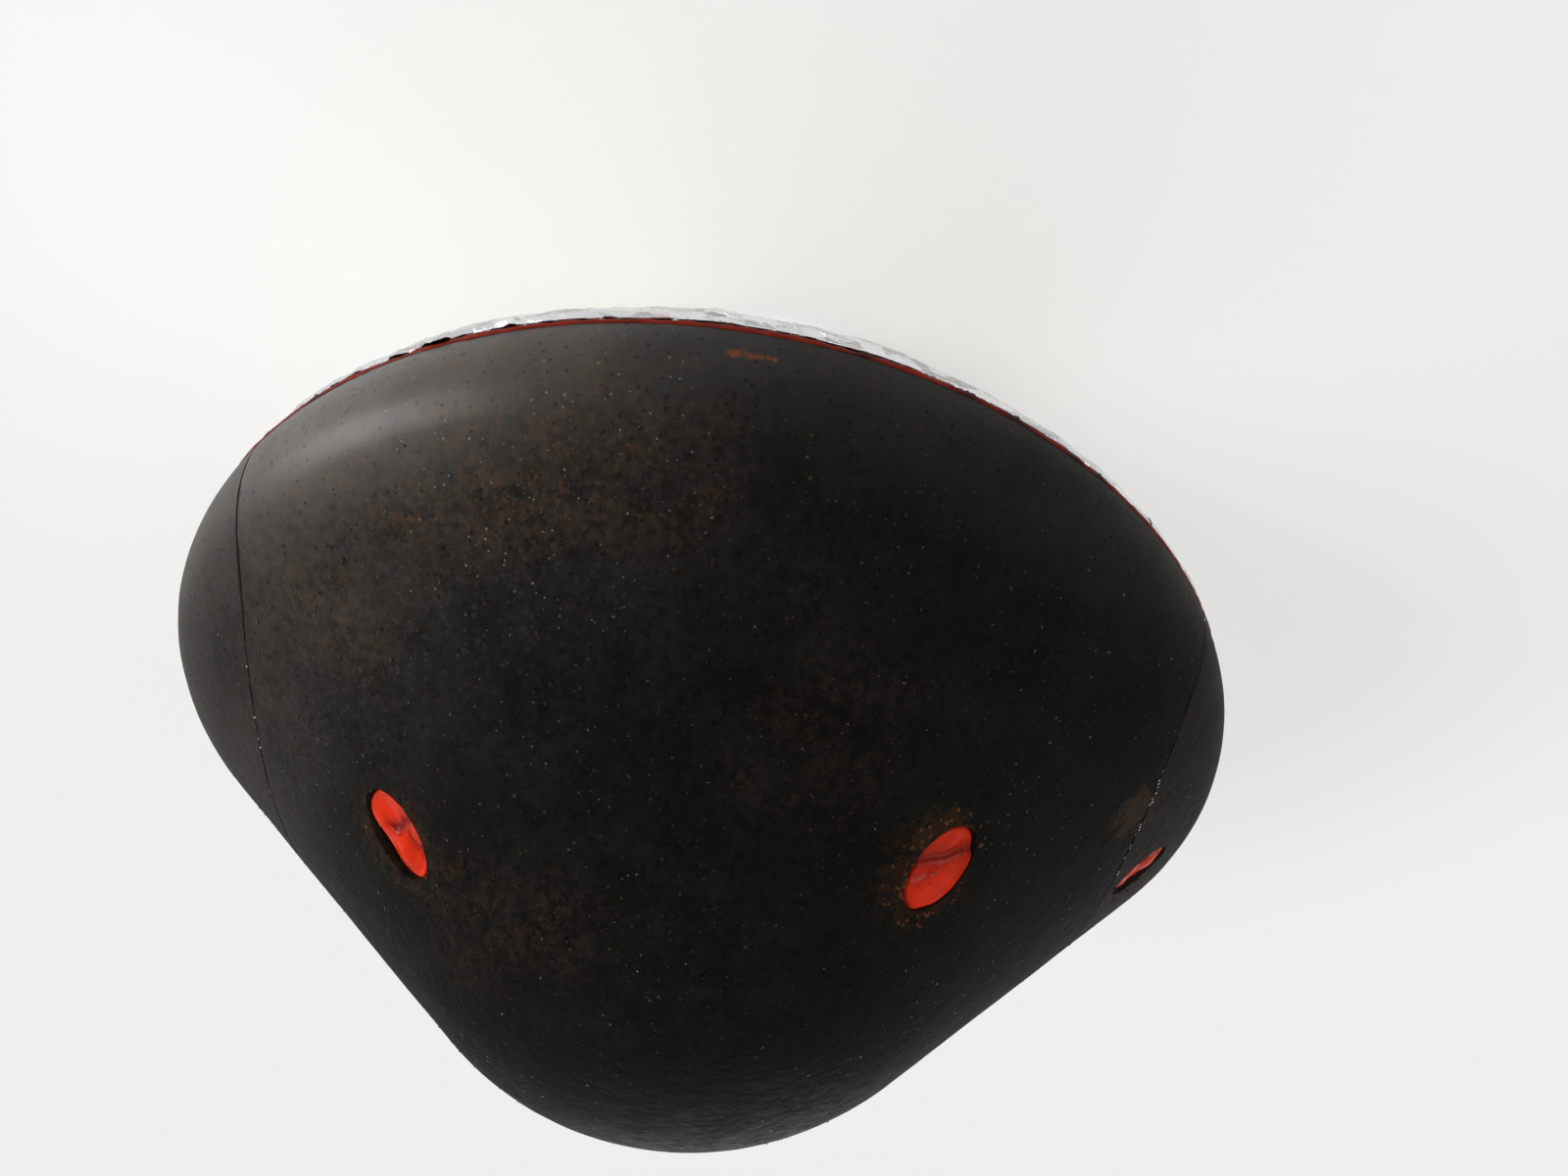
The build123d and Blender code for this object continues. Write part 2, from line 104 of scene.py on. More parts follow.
def aim_camera():
    """Camera at the photograph's place, with the roll that puts the nose at the bottom."""
    level_share = math.cos(CAMERA_PITCH)
    ahead = Vector(
        (math.sin(CAMERA_YAW) * level_share, math.cos(CAMERA_YAW) * level_share, math.sin(CAMERA_PITCH))
    )
    level = Vector((math.cos(CAMERA_YAW), -math.sin(CAMERA_YAW), 0))
    upright = level.cross(ahead)
    right = level * math.cos(CAMERA_ROLL) + upright * math.sin(CAMERA_ROLL)
    up = upright * math.cos(CAMERA_ROLL) - level * math.sin(CAMERA_ROLL)
    made = bpy.data.cameras.new("camera")
    made.lens = CAMERA_LENS
    made.sensor_width = 36
    made.shift_x = -0.05
    made.shift_y = 0.05
    made.clip_start = 0.01
    camera = bare_object("camera", made)
    turn_to = Matrix((right, up, -ahead)).transposed().to_4x4()
    turn_to.translation = CAMERA_PLACE
    camera.matrix_world = turn_to
    bpy.context.scene.camera = camera


def bare_object(name, data):
    """Object in the scene that rides on nothing."""
    made = bpy.data.objects.new(name, data)
    bpy.context.scene.collection.objects.link(made)
    return made


aim_camera()


# Node building. Colours are three numbers.


def shaded(colour, factor):
    """Colour made darker or lighter by a factor."""
    return tuple(factor * c for c in colour)


def opaque(colour):
    """Plain colour with its alpha; a socket stays as it is."""
    return (*colour, 1) if isinstance(colour, tuple) else colour


class Nodes:
    """A node tree and the nodes that go into it. A node's inputs are plain values, or sockets to link."""

    def __init__(self, tree):
        self.tree = tree
        self.own_place = None

    def join(self, value, socket):
        """Sets an input to a value, or links a socket to it."""
        if isinstance(value, bpy.types.NodeSocket):
            self.tree.links.new(value, socket)
        elif value is not None:
            socket.default_value = value

    def put(self, kind, inputs=None, **settings):
        """Outputs of a new node, with its settings and its inputs."""
        made = self.tree.nodes.new(kind)
        for name, value in settings.items():
            setattr(made, name, value)
        for name, value in (inputs or {}).items():
            self.join(value, made.inputs[name])
        return made.outputs

    def geo(self, kind, inputs=None, **settings):
        """First output of a geometry node."""
        return self.put("GeometryNode" + kind, inputs, **settings)[0]

    def calc(self, operation, *values):
        """Math node's result."""
        return self.put("ShaderNodeMath", dict(enumerate(values)), operation=operation)[0]

    def times(self, value, *others):
        """Product."""
        for other in others:
            value = self.calc("MULTIPLY", value, other)
        return value

    def plus(self, first, second):
        """Sum."""
        return self.calc("ADD", first, second)

    def vector(self, operation, *values, **named):
        """Vector math node's result."""
        made = self.put("ShaderNodeVectorMath", {**dict(enumerate(values)), **named}, operation=operation)
        return made["Value" if operation in ("DISTANCE", "DOT_PRODUCT", "LENGTH") else "Vector"]

    def mix(self, factor, first, second, blend_type="MIX"):
        """Mix of two colours."""
        inputs = {0: factor, 6: opaque(first), 7: opaque(second)}
        return self.put("ShaderNodeMix", inputs, data_type="RGBA", blend_type=blend_type)[2]

    def lay(self, colour, coat, *shares):
        """Colour with another laid over it, as much as the product of the shares."""
        return self.mix(self.times(*shares), colour, coat)

    def spread(self, value, low, high, to_low=0.0, to_high=1.0, smooth=True):
        """Value mapped from one range to another, clamped."""
        inputs = {"Value": value, "From Min": low, "From Max": high, "To Min": to_low, "To Max": to_high}
        kind = "SMOOTHSTEP" if smooth else "LINEAR"
        return self.put("ShaderNodeMapRange", inputs, interpolation_type=kind)[0]

    def cloud(self, vector, scale, detail=4.0, roughness=0.55, distortion=0.0):
        """Noise value."""
        inputs = {"Vector": vector, "Scale": scale, "Detail": detail, "Roughness": roughness}
        return self.put("ShaderNodeTexNoise", {**inputs, "Distortion": distortion})[0]

    def cells(self, vector, scale, feature="F1", randomness=1.0):
        """Outputs of a Voronoi node."""
        inputs = {"Vector": vector, "Scale": scale, "Randomness": randomness}
        return self.put("ShaderNodeTexVoronoi", inputs, feature=feature)

    def place(self):
        """Object coordinates, which are the capsule's own."""
        if self.own_place is None:
            self.own_place = self.put("ShaderNodeTexCoord")["Object"]
        return self.own_place

    def axes(self):
        """X, Y and Z of the object coordinates."""
        return self.put("ShaderNodeSeparateXYZ", {0: self.place()})

    def attribute(self, name):
        """Value that the piece's points carry."""
        return self.put("ShaderNodeAttribute", attribute_name=name)["Fac"]

    def effect(self, group, *values):
        """Outputs of a shared effect, placed with its own values in the order of its inputs."""
        return self.put("ShaderNodeGroup", dict(enumerate(values)), node_tree=group)

    def mask(self, group, *values):
        """First output of a shared effect."""
        return self.effect(group, *values)[0]

    def give(self, *values):
        """Links a group's results in their order, and gives the group."""
        for value, socket in zip(values, self.result):
            self.tree.links.new(value, socket)
        return self.tree

    def feed(self, colour, rough, metal=None, coat=None, height=None, strength=0.3, depth=0.001):
        """Links what changes over the surface to the shader, and gives the material."""
        links = {"Base Color": colour, "Roughness": rough, "Metallic": metal, "Coat Weight": coat}
        if height is not None:
            bump = {"Height": height, "Strength": strength, "Distance": depth}
            links["Normal"] = self.put("ShaderNodeBump", bump)[0]
        for label, socket in links.items():
            self.join(socket, self.shader.inputs[label])
        return self.material

    def spun(self, rotation, seed):
        """Rotation with a random turn about its own Z."""
        inputs = {2: 0.0, 3: math.tau, "Seed": seed}
        angle = self.put("FunctionNodeRandomValue", inputs, data_type="FLOAT")[1]
        about = self.put("FunctionNodeAxisAngleToRotation", {"Axis": (0, 0, 1), "Angle": angle})[0]
        inputs = {"Rotation": rotation, "Rotate By": about}
        return self.put("FunctionNodeRotateRotation", inputs, rotation_space="LOCAL")[0]

    def outward(self):
        """Rotation that stands a part square on a cone about the capsule's axis."""
        lean = self.given["Lean"]
        level = self.vector("NORMALIZE", self.vector("MULTIPLY", self.geo("InputPosition"), (1, 1, 0)))
        sideways = self.vector("SCALE", level, Scale=self.calc("COSINE", lean))
        upward = self.put("ShaderNodeCombineXYZ", {2: self.calc("SINE", lean)})[0]
        out = self.vector("ADD", sideways, upward)
        return self.put("FunctionNodeAlignRotationToVector", {"Vector": out}, axis="Z")[0]

    def instances(self, points, part, rotation, size=None, smooth=False):
        """A part at each point, made real and given its finish, as the result of a geometry tree."""
        inputs = {"Points": points, "Instance": part, "Rotation": rotation, "Scale": size}
        made = self.geo("RealizeInstances", {"Geometry": self.geo("InstanceOnPoints", inputs)})
        if smooth:
            made = self.geo("SetShadeSmooth", {0: made})
        return self.give(self.geo("SetMaterial", {"Geometry": made, "Material": self.given["Finish"]}))


def new_group(name, outputs, kind="ShaderNodeTree", **inputs):
    """Node group with named outputs and inputs. An input is its plain value, or its kind if it has none."""
    tree = bpy.data.node_groups.new(name, kind)
    kinds = {float: "Float", int: "Int", tuple: "Vector"}
    for label, value in inputs.items():
        socket_type = "NodeSocket" + kinds.get(type(value), str(value))
        socket = tree.interface.new_socket(label.replace("_", " "), in_out="INPUT", socket_type=socket_type)
        if not isinstance(value, str):
            socket.default_value = value
    for label in outputs:
        socket_type = "NodeSocket" + ("Geometry" if label == "Geometry" else "Float")
        tree.interface.new_socket(label, in_out="OUTPUT", socket_type=socket_type)
    made = Nodes(tree)
    made.given = tree.nodes.new("NodeGroupInput").outputs
    made.result = tree.nodes.new("NodeGroupOutput").inputs
    return made


def new_finish(name, **constants):
    """Material with its shader's plain values set, ready for its nodes."""
    material = bpy.data.materials.new(name)
    material.use_nodes = True
    made = Nodes(material.node_tree)
    made.material = material
    made.shader = material.node_tree.nodes["Principled BSDF"]
    for label, value in constants.items():
        made.shader.inputs[label.replace("_", " ")].default_value = value
    return made


# Effects that several finishes share


def blotches_group():
    """Soft irregular patches: where they are, from 0 to 1."""
    n = new_group("blotches", ("Mask",), Scale=8.0, From=0.45, To=0.65, Stretch=(1, 1, 1))
    value = n.cloud(n.vector("MULTIPLY", n.place(), n.given["Stretch"]), n.given["Scale"], 6.0, 0.6, 0.3)
    return n.give(n.spread(value, n.given["From"], n.given["To"]))


def grain_group():
    """Fine rough grain: its height and its tone."""
    n = new_group("grain", ("Height", "Tone"), Scale=600.0, Clumps=0.5)
    scale = n.given["Scale"]
    fine = n.cloud(n.place(), scale, 3.0, 0.65)
    coarse = n.cloud(n.place(), n.times(scale, 0.23), 4.0, 0.6)
    pits = n.cells(n.place(), n.times(scale, 0.45))["Distance"]
    height = n.plus(n.plus(fine, n.times(coarse, n.given["Clumps"])), n.times(pits, 0.35))
    return n.give(height, n.plus(n.times(fine, 0.6), n.times(coarse, 0.4)))


def specks_group():
    """Small separate specks: where they are, from 0 to 1."""
    n = new_group("specks", ("Mask",), Scale=120.0, Size=0.12, Share=0.1)
    made = n.cells(n.place(), n.given["Scale"])
    shade = n.put("ShaderNodeSeparateColor", {0: made["Color"]})
    chosen = n.calc("LESS_THAN", shade[0], n.given["Share"])
    size = n.times(n.given["Size"], n.plus(shade[1], 0.35))
    return n.give(n.times(chosen, n.calc("LESS_THAN", made["Distance"], size)))


def zone_group():
    """Round zone with a ragged edge: how far inside it a point is, from 0 to 1."""
    n = new_group("zone", ("Mask",), Centre=(0, 0, 0), Reach=0.05, Ragged=0.5, Scale=60.0)
    away = n.vector("DISTANCE", n.place(), n.given["Centre"])
    rough = n.calc("SUBTRACT", n.cloud(n.place(), n.given["Scale"], 5.0, 0.65), 0.5)
    ragged = n.times(rough, n.given["Ragged"], 2.0)
    level = n.calc("SUBTRACT", n.calc("DIVIDE", away, n.given["Reach"]), ragged)
    return n.give(n.spread(level, 0.35, 1.0, 1.0, 0.0))


def worn_edge_group():
    """Edges and corners that handling has rubbed bare."""
    n = new_group("worn edge", ("Mask",), Width=0.0015, Breakup=90.0)
    rounded = n.put("ShaderNodeBevel", {"Radius": n.given["Width"]}, samples=4)[0]
    alike = n.vector("DOT_PRODUCT", rounded, n.put("ShaderNodeNewGeometry")["Normal"])
    broken = n.spread(n.cloud(n.place(), n.given["Breakup"], 5.0, 0.7), 0.42, 0.62)
    return n.give(n.times(n.spread(alike, 0.985, 0.80), broken))


def turned_marks_group():
    """Fine rings of a lathe about the capsule's axis: their height and tone."""
    n = new_group("turned marks", ("Height", "Tone"), Pitch=0.0012)
    x, y, z = n.axes()
    across = n.calc("SQRT", n.plus(n.times(x, x), n.times(y, y)))
    turns = n.calc("DIVIDE", n.plus(across, n.times(z, 0.83)), n.given["Pitch"])
    tone = n.cloud(n.put("ShaderNodeCombineXYZ", {0: turns})[0], 0.35, 5.0, 0.7)
    wave = n.calc("SINE", n.times(turns, math.tau))
    return n.give(n.plus(n.times(wave, 0.3), tone), tone)


def handling_group():
    """Marks of handling on a coating: smudges, and hairline scratches."""
    n = new_group("handling", ("Smudges", "Scratches"), Smudge_scale=9.0, Scratch_scale=5.0)
    smudges = n.spread(n.cloud(n.place(), n.given["Smudge scale"], 7.0, 0.65, 0.6), 0.48, 0.72)
    masks = []
    for number, turn_by in enumerate(((0.4, 0.9, 0.2), (1.7, 0.3, 1.1), (2.6, 1.9, 0.7))):
        inputs = {"Vector": n.place(), "Rotation": turn_by, "Scale": (1, 14, 1)}
        turned = n.put("ShaderNodeMapping", inputs)[0]
        line = n.cells(turned, n.given["Scratch scale"], "DISTANCE_TO_EDGE")["Distance"]
        faint = n.spread(n.cloud(n.place(), 13.0 + number, 3.0), 0.52, 0.66)
        masks.append(n.times(n.spread(line, 0.002, 0.006, 1.0, 0.0), faint))
    return n.give(smudges, n.calc("MAXIMUM", n.calc("MAXIMUM", masks[0], masks[1]), masks[2]))


def weave_group():
    """Plain weave round the capsule's axis: height and thread tone."""
    n = new_group("weave", ("Height", "Tone"), Pitch=0.0014)
    x, y, z = n.axes()
    bag_radius = 0.104
    threads = []
    for length in (n.times(n.calc("ARCTAN2", y, x), bag_radius), z):
        threads.append(n.calc("SINE", n.calc("DIVIDE", n.times(length, math.tau), n.given["Pitch"])))
    return n.give(n.times(*threads), n.cloud(n.place(), 40.0, 5.0, 0.6))


BLOTCHES = blotches_group()
GRAIN = grain_group()
SPECKS = specks_group()
ZONE = zone_group()
WORN_EDGE = worn_edge_group()
TURNED_MARKS = turned_marks_group()
HANDLING = handling_group()
WEAVE = weave_group()


# Places on the surface


def around(angle, radius, z):
    """Point at an angle about the axis, at a distance from it and a height."""
    return Vector((radius * math.sin(angle), -radius * math.cos(angle), z))


def leaning(level, rise):
    """Level direction turned upwards."""
    return level * math.cos(rise) + Vector((0, 0, math.sin(rise)))


def frame_at(azimuth, radius, height, rise):
    """Frame on the outside: X across, Y up the slope, Z outwards."""
    a = math.radians(azimuth)
    level = around(a, 1, 0)
    across = Vector((math.cos(a), math.sin(a), 0))
    out = leaning(level, rise)
    made = Matrix((across, out.cross(across), out)).transposed().to_4x4()
    made.translation = level * radius + Vector((0, 0, height))
    return made


def shield_z(radius):
    """Height of the shield's outside at a distance from the axis."""
    if radius <= CONE_START_R:
        return NOSE_CENTRE + math.sqrt(NOSE_RADIUS**2 - radius**2)
    if radius <= CONE_END_R:
        return CONE_START_Z - (radius - CONE_START_R) / math.tan(CONE_SLOPE)
    return SHOULDER_Z + math.sqrt(max(0.0, SHOULDER_RADIUS**2 - (radius - SHOULDER_R) ** 2))


def shoulder_rise(z):
    """How far the round shoulder's surface leans upwards at a height."""
    return math.asin(max(-1.0, min(1.0, (z - SHOULDER_Z) / SHOULDER_RADIUS)))


def shield_point(azimuth, radius):
    """Point on the shield's outside."""
    return around(math.radians(azimuth), radius, shield_z(radius))


def on_shield(azimuth, radius):
    """Frame on the shield's cone."""
    return frame_at(azimuth, radius, shield_z(radius), CONE_SLOPE)


def shell_r(z, inset=0.0):
    """Radius of the backshell cone at a height, inset square to its surface."""
    return SHELL_START_R - (SHELL_START_Z - z) * math.tan(SHELL_SLOPE) - inset / math.cos(SHELL_SLOPE)


def shell_point(azimuth, z, inset=0.0):
    """Point on the backshell cone."""
    return around(math.radians(azimuth), shell_r(z, inset), z)


def on_shell(site):
    """Frame on the backshell cone at a site, and its distance from the axis."""
    azimuth, below_edge = site
    z = SHELL_START_Z - below_edge
    return frame_at(azimuth, shell_r(z), z, -SHELL_SLOPE), shell_r(z)


def shell_sag(radius, x, y):
    """How far the cone falls below its frame's plane at a place on that plane."""
    bend = (radius + y * math.sin(SHELL_SLOPE)) / math.cos(SHELL_SLOPE)
    return bend - math.sqrt(bend * bend - x * x)


def bell(value, width):
    """Smooth hump of height one."""
    return math.exp(-((value / width) ** 2))


def turn_apart(first, second):
    """Angle between two directions in degrees, from 0 to 180."""
    return abs((first - second + 180) % 360 - 180)


def humps(azimuth, rows):
    """Sum of humps at an azimuth, each of its middle and width in degrees and its height."""
    return sum(height * bell(turn_apart(azimuth, middle), width) for middle, width, height in rows)


def angles(count):
    """Angles round a full turn."""
    return [math.tau * step / count for step in range(count)]


# Mesh building


def new_piece(name, mesh, finish=None, body="capsule", stands_for=None):
    """Finished piece with its finish, riding on a body, in place of a CAD node if one is named."""
    if finish is not None:
        mesh.materials.clear()
        mesh.materials.append(finish)
    piece = bare_object(name, mesh)
    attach(piece, body)
    if stands_for:
        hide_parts(stands_for)
    return piece


def plain_mesh(name, verts, faces=(), edges=()):
    """Mesh as it is given."""
    mesh = bpy.data.meshes.new(name)
    mesh.from_pydata([tuple(v) for v in verts], list(edges), list(faces))
    return mesh


def smooth_up_to(mesh, angle):
    """Smooths a mesh but for edges sharper than an angle in degrees."""
    mesh.shade_smooth()
    mesh.set_sharp_from_angle(angle=math.radians(angle))
    return mesh


def built_mesh(name, verts, faces, angle=None, merge=True, turn_out=True):
    """Mesh with doubles merged and normals outwards, smooth up to an angle in degrees."""
    mesh = plain_mesh(name, verts, faces)
    mesh.validate()
    if turn_out:
        work = bmesh.new()
        work.from_mesh(mesh)
        if merge:
            bmesh.ops.remove_doubles(work, verts=work.verts, dist=1e-7)
        bmesh.ops.recalc_face_normals(work, faces=work.faces)
        work.to_mesh(mesh)
        work.free()
    return mesh if angle is None else smooth_up_to(mesh, angle)


def marked(mesh, name, values):
    """The mesh, with a value at each of its points."""
    mesh.attributes.new(name, "FLOAT", "POINT").data.foreach_set("value", values)
    return mesh


def turn_rings(rings, closed=False):
    """Faces between rings of vertex numbers; a ring of one number is a pole."""
    faces = []
    for upper, lower in list(zip(rings, rings[1:])) + ([(rings[-1], rings[0])] if closed else []):
        count = max(len(upper), len(lower))
        for s in range(count):
            t = (s + 1) % count
            corners = ((upper, s), (lower, s), (lower, t), (upper, t))
            kept = list(dict.fromkeys(ring[step % len(ring)] for ring, step in corners))
            if len(kept) > 2:
                faces.append(kept)
    return faces


def skinned(rings, closed=False, capped=False):
    """Vertices and faces of a skin over rings of points; a ring of one point is a pole."""
    verts, numbers = [], []
    for ring in rings:
        numbers.append(list(range(len(verts), len(verts) + len(ring))))
        verts += ring
    caps = [numbers[0], numbers[-1][::-1]] if capped else []
    return verts, turn_rings(numbers, closed) + caps


def joined(parts):
    """Vertices and faces of several parts as one."""
    verts, faces = [], []
    for part_verts, part_faces in parts:
        start = len(verts)
        verts += part_verts
        faces += [[start + i for i in face] for face in part_faces]
    return verts, faces


def slab(top, under, thin=False):
    """Vertices and faces of a slab between two grids of points. A thin one has both sides split alike."""
    rows, columns = len(top) - 1, len(top[0]) - 1
    verts = [point for grid in (top, under) for row in grid for point in row]

    def at(i, j, low=0):
        """Number of a grid's point."""
        return (low * (rows + 1) + i) * (columns + 1) + j

    squares = [(i, j) for i in range(rows) for j in range(columns)]
    faces = [[at(i, j), at(i + 1, j), at(i + 1, j + 1), at(i, j + 1)] for i, j in squares]
    for i, j in squares:
        square = [at(i, j, 1), at(i, j + 1, 1), at(i + 1, j + 1, 1), at(i + 1, j, 1)]
        faces.append(square if thin else square[1:] + square[:1])
    rim = [(0, j) for j in range(columns)] + [(i, columns) for i in range(rows)]
    rim += [(rows, j) for j in range(columns, 0, -1)] + [(i, 0) for i in range(rows, 0, -1)]
    for here, after in zip(rim, rim[1:] + rim[:1]):
        faces.append([at(*here), at(*after), at(*after, 1), at(*here, 1)])
    return verts, faces


def turned_piece(profile, segments, shift=None):
    """Vertices and faces of a profile of radius and height turned about the axis."""
    rings = []
    for index, (r, z) in enumerate(profile):
        if r < 1e-9:
            rings.append([Vector((0, 0, z))])
            continue
        ring = [around(a, r, z) for a in angles(segments)]
        if shift:
            ring = [shift(point, index, math.degrees(a)) for point, a in zip(ring, angles(segments))]
        rings.append(ring)
    return skinned(rings)


def lathe_rings(profile, segments, centre=(0, 0)):
    """Rings of points about Z from radius and height in mm; a radius of 0 is a pole."""
    x, y = centre
    rings = []
    for r, z in profile:
        turns = angles(segments if r else 1)
        rings.append([Vector((x + r * math.cos(a), y + r * math.sin(a), z)) * MM for a in turns])
    return rings


def lump(centre, place, size, seed, subdivisions=3):
    """Vertices and faces of an irregular lump about a point, with its size across, up and out."""
    work = bmesh.new()
    bmesh.ops.create_icosphere(work, subdivisions=subdivisions, radius=1.0)
    verts = []
    for vertex in work.verts:
        rough = 1 + 0.35 * noise.noise(vertex.co * 1.7 + Vector((seed, seed * 0.3, 0)))
        verts.append(centre + place.to_3x3() @ (vertex.co * Vector(size) * rough))
    faces = [[v.index for v in face.verts] for face in work.faces]
    work.free()
    return verts, faces


def evaluated_mesh(piece):
    """The piece's mesh with its modifiers applied."""
    bpy.context.view_layer.update()
    depsgraph = bpy.context.evaluated_depsgraph_get()
    return bpy.data.meshes.new_from_object(piece.evaluated_get(depsgraph), depsgraph=depsgraph)


def cut(mesh, cutter_mesh, operation="DIFFERENCE"):
    """Mesh with the cutter taken out of it, or only what lies inside the cutter."""
    body = bare_object("cut body", mesh)
    cutter = bare_object("cutter", cutter_mesh)
    modifier = body.modifiers.new("cut", "BOOLEAN")
    modifier.object = cutter
    modifier.operation = operation
    modifier.solver = "MANIFOLD"
    made = evaluated_mesh(body)
    bpy.data.objects.remove(body)
    bpy.data.objects.remove(cutter)
    return made


def grown_mesh(base_mesh, tree, values):
    """Plain mesh that a geometry tree makes from a base mesh."""
    carrier = bare_object("carrier", base_mesh)
    modifier = carrier.modifiers.new(tree.name, "NODES")
    modifier.node_group = tree
    for item in tree.interface.items_tree:
        if item.item_type == "SOCKET" and item.in_out == "INPUT" and item.name in values:
            modifier[item.identifier] = values[item.name]
    made = evaluated_mesh(carrier)
    bpy.data.objects.remove(carrier)
    return made


# Marks on the shield: azimuth, distance from the axis, reach, amount, and a stain's colour. Eight small
# stains side by side make a run of red silicone below the seam.
RUST_ZONES = (
    (25, 0.424, 0.105, 0.85),
    (39, 0.424, 0.070, 0.55),
    (12, 0.412, 0.085, 0.50),
    (43, 0.365, 0.060, 0.60),
    (46, 0.205, 0.072, 0.36),
    (28, 0.190, 0.055, 0.22),
    (-12, 0.300, 0.090, 0.20),
    (120, 0.300, 0.110, 0.55),
    (168, 0.380, 0.120, 0.60),
    (205, 0.215, 0.090, 0.55),
    (250, 0.390, 0.110, 0.55),
)
RUN_COLOUR = (0.170, 0.050, 0.022)
STAINS = (
    (-35.5, 0.250, 0.046, 0.50, (0.040, 0.017, 0.006)),
    (-33.5, 0.272, 0.026, 0.40, (0.050, 0.026, 0.010)),
    (-62.0, 0.366, 0.030, 0.45, (0.070, 0.042, 0.026)),
    *((4.0 - 0.45 * step, 0.4490, 0.0042 - 0.0002 * step, 0.62, RUN_COLOUR) for step in range(8)),
    (53.0, 0.257, 0.042, 0.30, (0.070, 0.034, 0.016)),
    (143.0, 0.257, 0.046, 0.40, (0.080, 0.034, 0.014)),
    (233.0, 0.257, 0.044, 0.35, (0.080, 0.034, 0.014)),
)


# Finishes


def ablator_finish():
    """Charcoal ablator: uneven skin, brown mottling, and stains round the plugs and along the joint, with
    painted light laid in: a lighter lit side, a painted highlight on the shoulder, painted sheen on the
    outer blocks, painted glints, and painted shade in its pits.
    """
    n = new_finish(
        "ablator",
        Specular_IOR_Level=0.025,
        Sheen_Weight=0.011,
        Sheen_Roughness=0.35,
        Sheen_Tint=(1.0, 0.95, 0.90, 1),
        Coat_Roughness=0.42,
        Coat_IOR=1.5,
    )
    x, _, z = n.axes()
    # The side the light comes from, at positive X, where painted light is laid.
    lit_side = n.spread(x, -0.04, 0.30)
    grain = n.effect(GRAIN, 520.0, 0.8)
    skin = n.effect(GRAIN, 150.0, 1.0)
    wide = n.mask(BLOTCHES, 3.2, 0.38, 0.66)
    colour = n.mix(wide, (0.0036, 0.0038, 0.0037), (0.0070, 0.0069, 0.0066))
    colour = n.lay(colour, (0.0105, 0.0100, 0.0094), n.mask(BLOTCHES, 26.0, 0.36, 0.74), 0.5)
    # Lighter blotchy veil on the lit side, towards the shoulder: painted light.
    painted_light_patches = n.spread(n.mask(BLOTCHES, 6.0, 0.22, 0.74, (1.0, 1.0, 0.6)), 0, 1, 0.30, 0.85)
    colour = n.lay(colour, (0.036, 0.032, 0.028), lit_side, n.spread(z, 0.63, 0.49), painted_light_patches)
    tone = n.spread(skin["Tone"], 0.36, 0.62, 0.62, 1.50, smooth=False)
    shade = n.put("ShaderNodeCombineColor", {0: tone, 1: tone, 2: tone})[0]
    colour = n.mix(1.0, colour, shade, "MULTIPLY")
    # Pale band round the shoulder, lightest on the lit side and broken into blotches: a painted highlight.
    highlight_colour = n.mix(lit_side, (0.030, 0.028, 0.026), (0.140, 0.130, 0.120))
    highlight_patches = n.spread(n.mask(BLOTCHES, 9.0, 0.28, 0.72), 0, 1, 0.45, 0.85)
    colour = n.lay(colour, highlight_colour, n.spread(z, 0.490, 0.412), highlight_patches)
    # The blocks beyond the side joints are lighter: partly their own tone, partly painted sheen from the
    # grazing view, most on the block at negative X.
    beyond = n.spread(n.calc("ABSOLUTE", x), SIDE_JOINT, SIDE_JOINT + 0.0015)
    colour = n.lay(colour, (0.022, 0.019, 0.017), beyond, n.spread(x, -0.3, 0.3, 0.70, 0.25))
    spots = n.times(n.mask(BLOTCHES, 150.0, 0.36, 0.74), 0.78)
    flecks = n.mask(SPECKS, 350.0, 0.42, 0.36)
    mottled = n.times(n.calc("MAXIMUM", spots, flecks), n.mask(BLOTCHES, 42.0, 0.26, 0.70))
    # Grey specks on the lit side towards the shoulder: painted glints.
    greys = n.mask(SPECKS, 250.0, 0.44, 0.34)
    colour = n.lay(colour, (0.040, 0.040, 0.040), greys, lit_side, n.spread(z, 0.600, 0.520), 0.55)
    for azimuth, radius, reach, amount in RUST_ZONES:
        zone = n.mask(ZONE, shield_point(azimuth, radius), reach, 0.7, 14.0)
        colour = n.lay(colour, (0.084, 0.041, 0.018), mottled, zone, amount)
    for azimuth, radius, reach, amount, stain in STAINS:
        zone = n.mask(ZONE, shield_point(azimuth, radius), reach, 1.3, 120.0)
        colour = n.lay(colour, stain, zone, amount)
    # Pits, sunk by the bump and darkened in colour as painted shade.
    pits = n.mask(SPECKS, 240.0, 0.28, 0.28)
    colour = n.lay(colour, (0.070, 0.036, 0.018), n.mask(SPECKS, 330.0, 0.28, 0.05), 0.5)
    colour = n.lay(colour, (0.0016, 0.0015, 0.0014), pits, 0.55)
    # Pale specks, most round the lit shoulder: painted glints.
    glint_zone = n.mask(ZONE, shield_point(22, 0.42), 0.16, 0.5, 12.0)
    pale = n.mask(SPECKS, 380.0, 0.24, 0.07)
    colour = n.lay(colour, (0.16, 0.145, 0.13), pale, n.spread(glint_zone, 0, 1, 0.12, 0.85))
    rough = n.spread(skin["Tone"], 0.3, 0.7, 0.56, 0.78)
    height = n.plus(skin["Height"], n.times(grain["Height"], 0.25))
    height = n.calc("SUBTRACT", height, n.times(pits, 0.5))
    polish = n.times(n.spread(z, 0.500, 0.425), n.spread(lit_side, 0, 1, 0.06, 0.72))
    polish = n.times(polish, n.spread(x, 0.285, 0.405, 1.0, 0.25))
    return n.feed(colour, rough, coat=polish, height=height, strength=0.80, depth=0.0013)


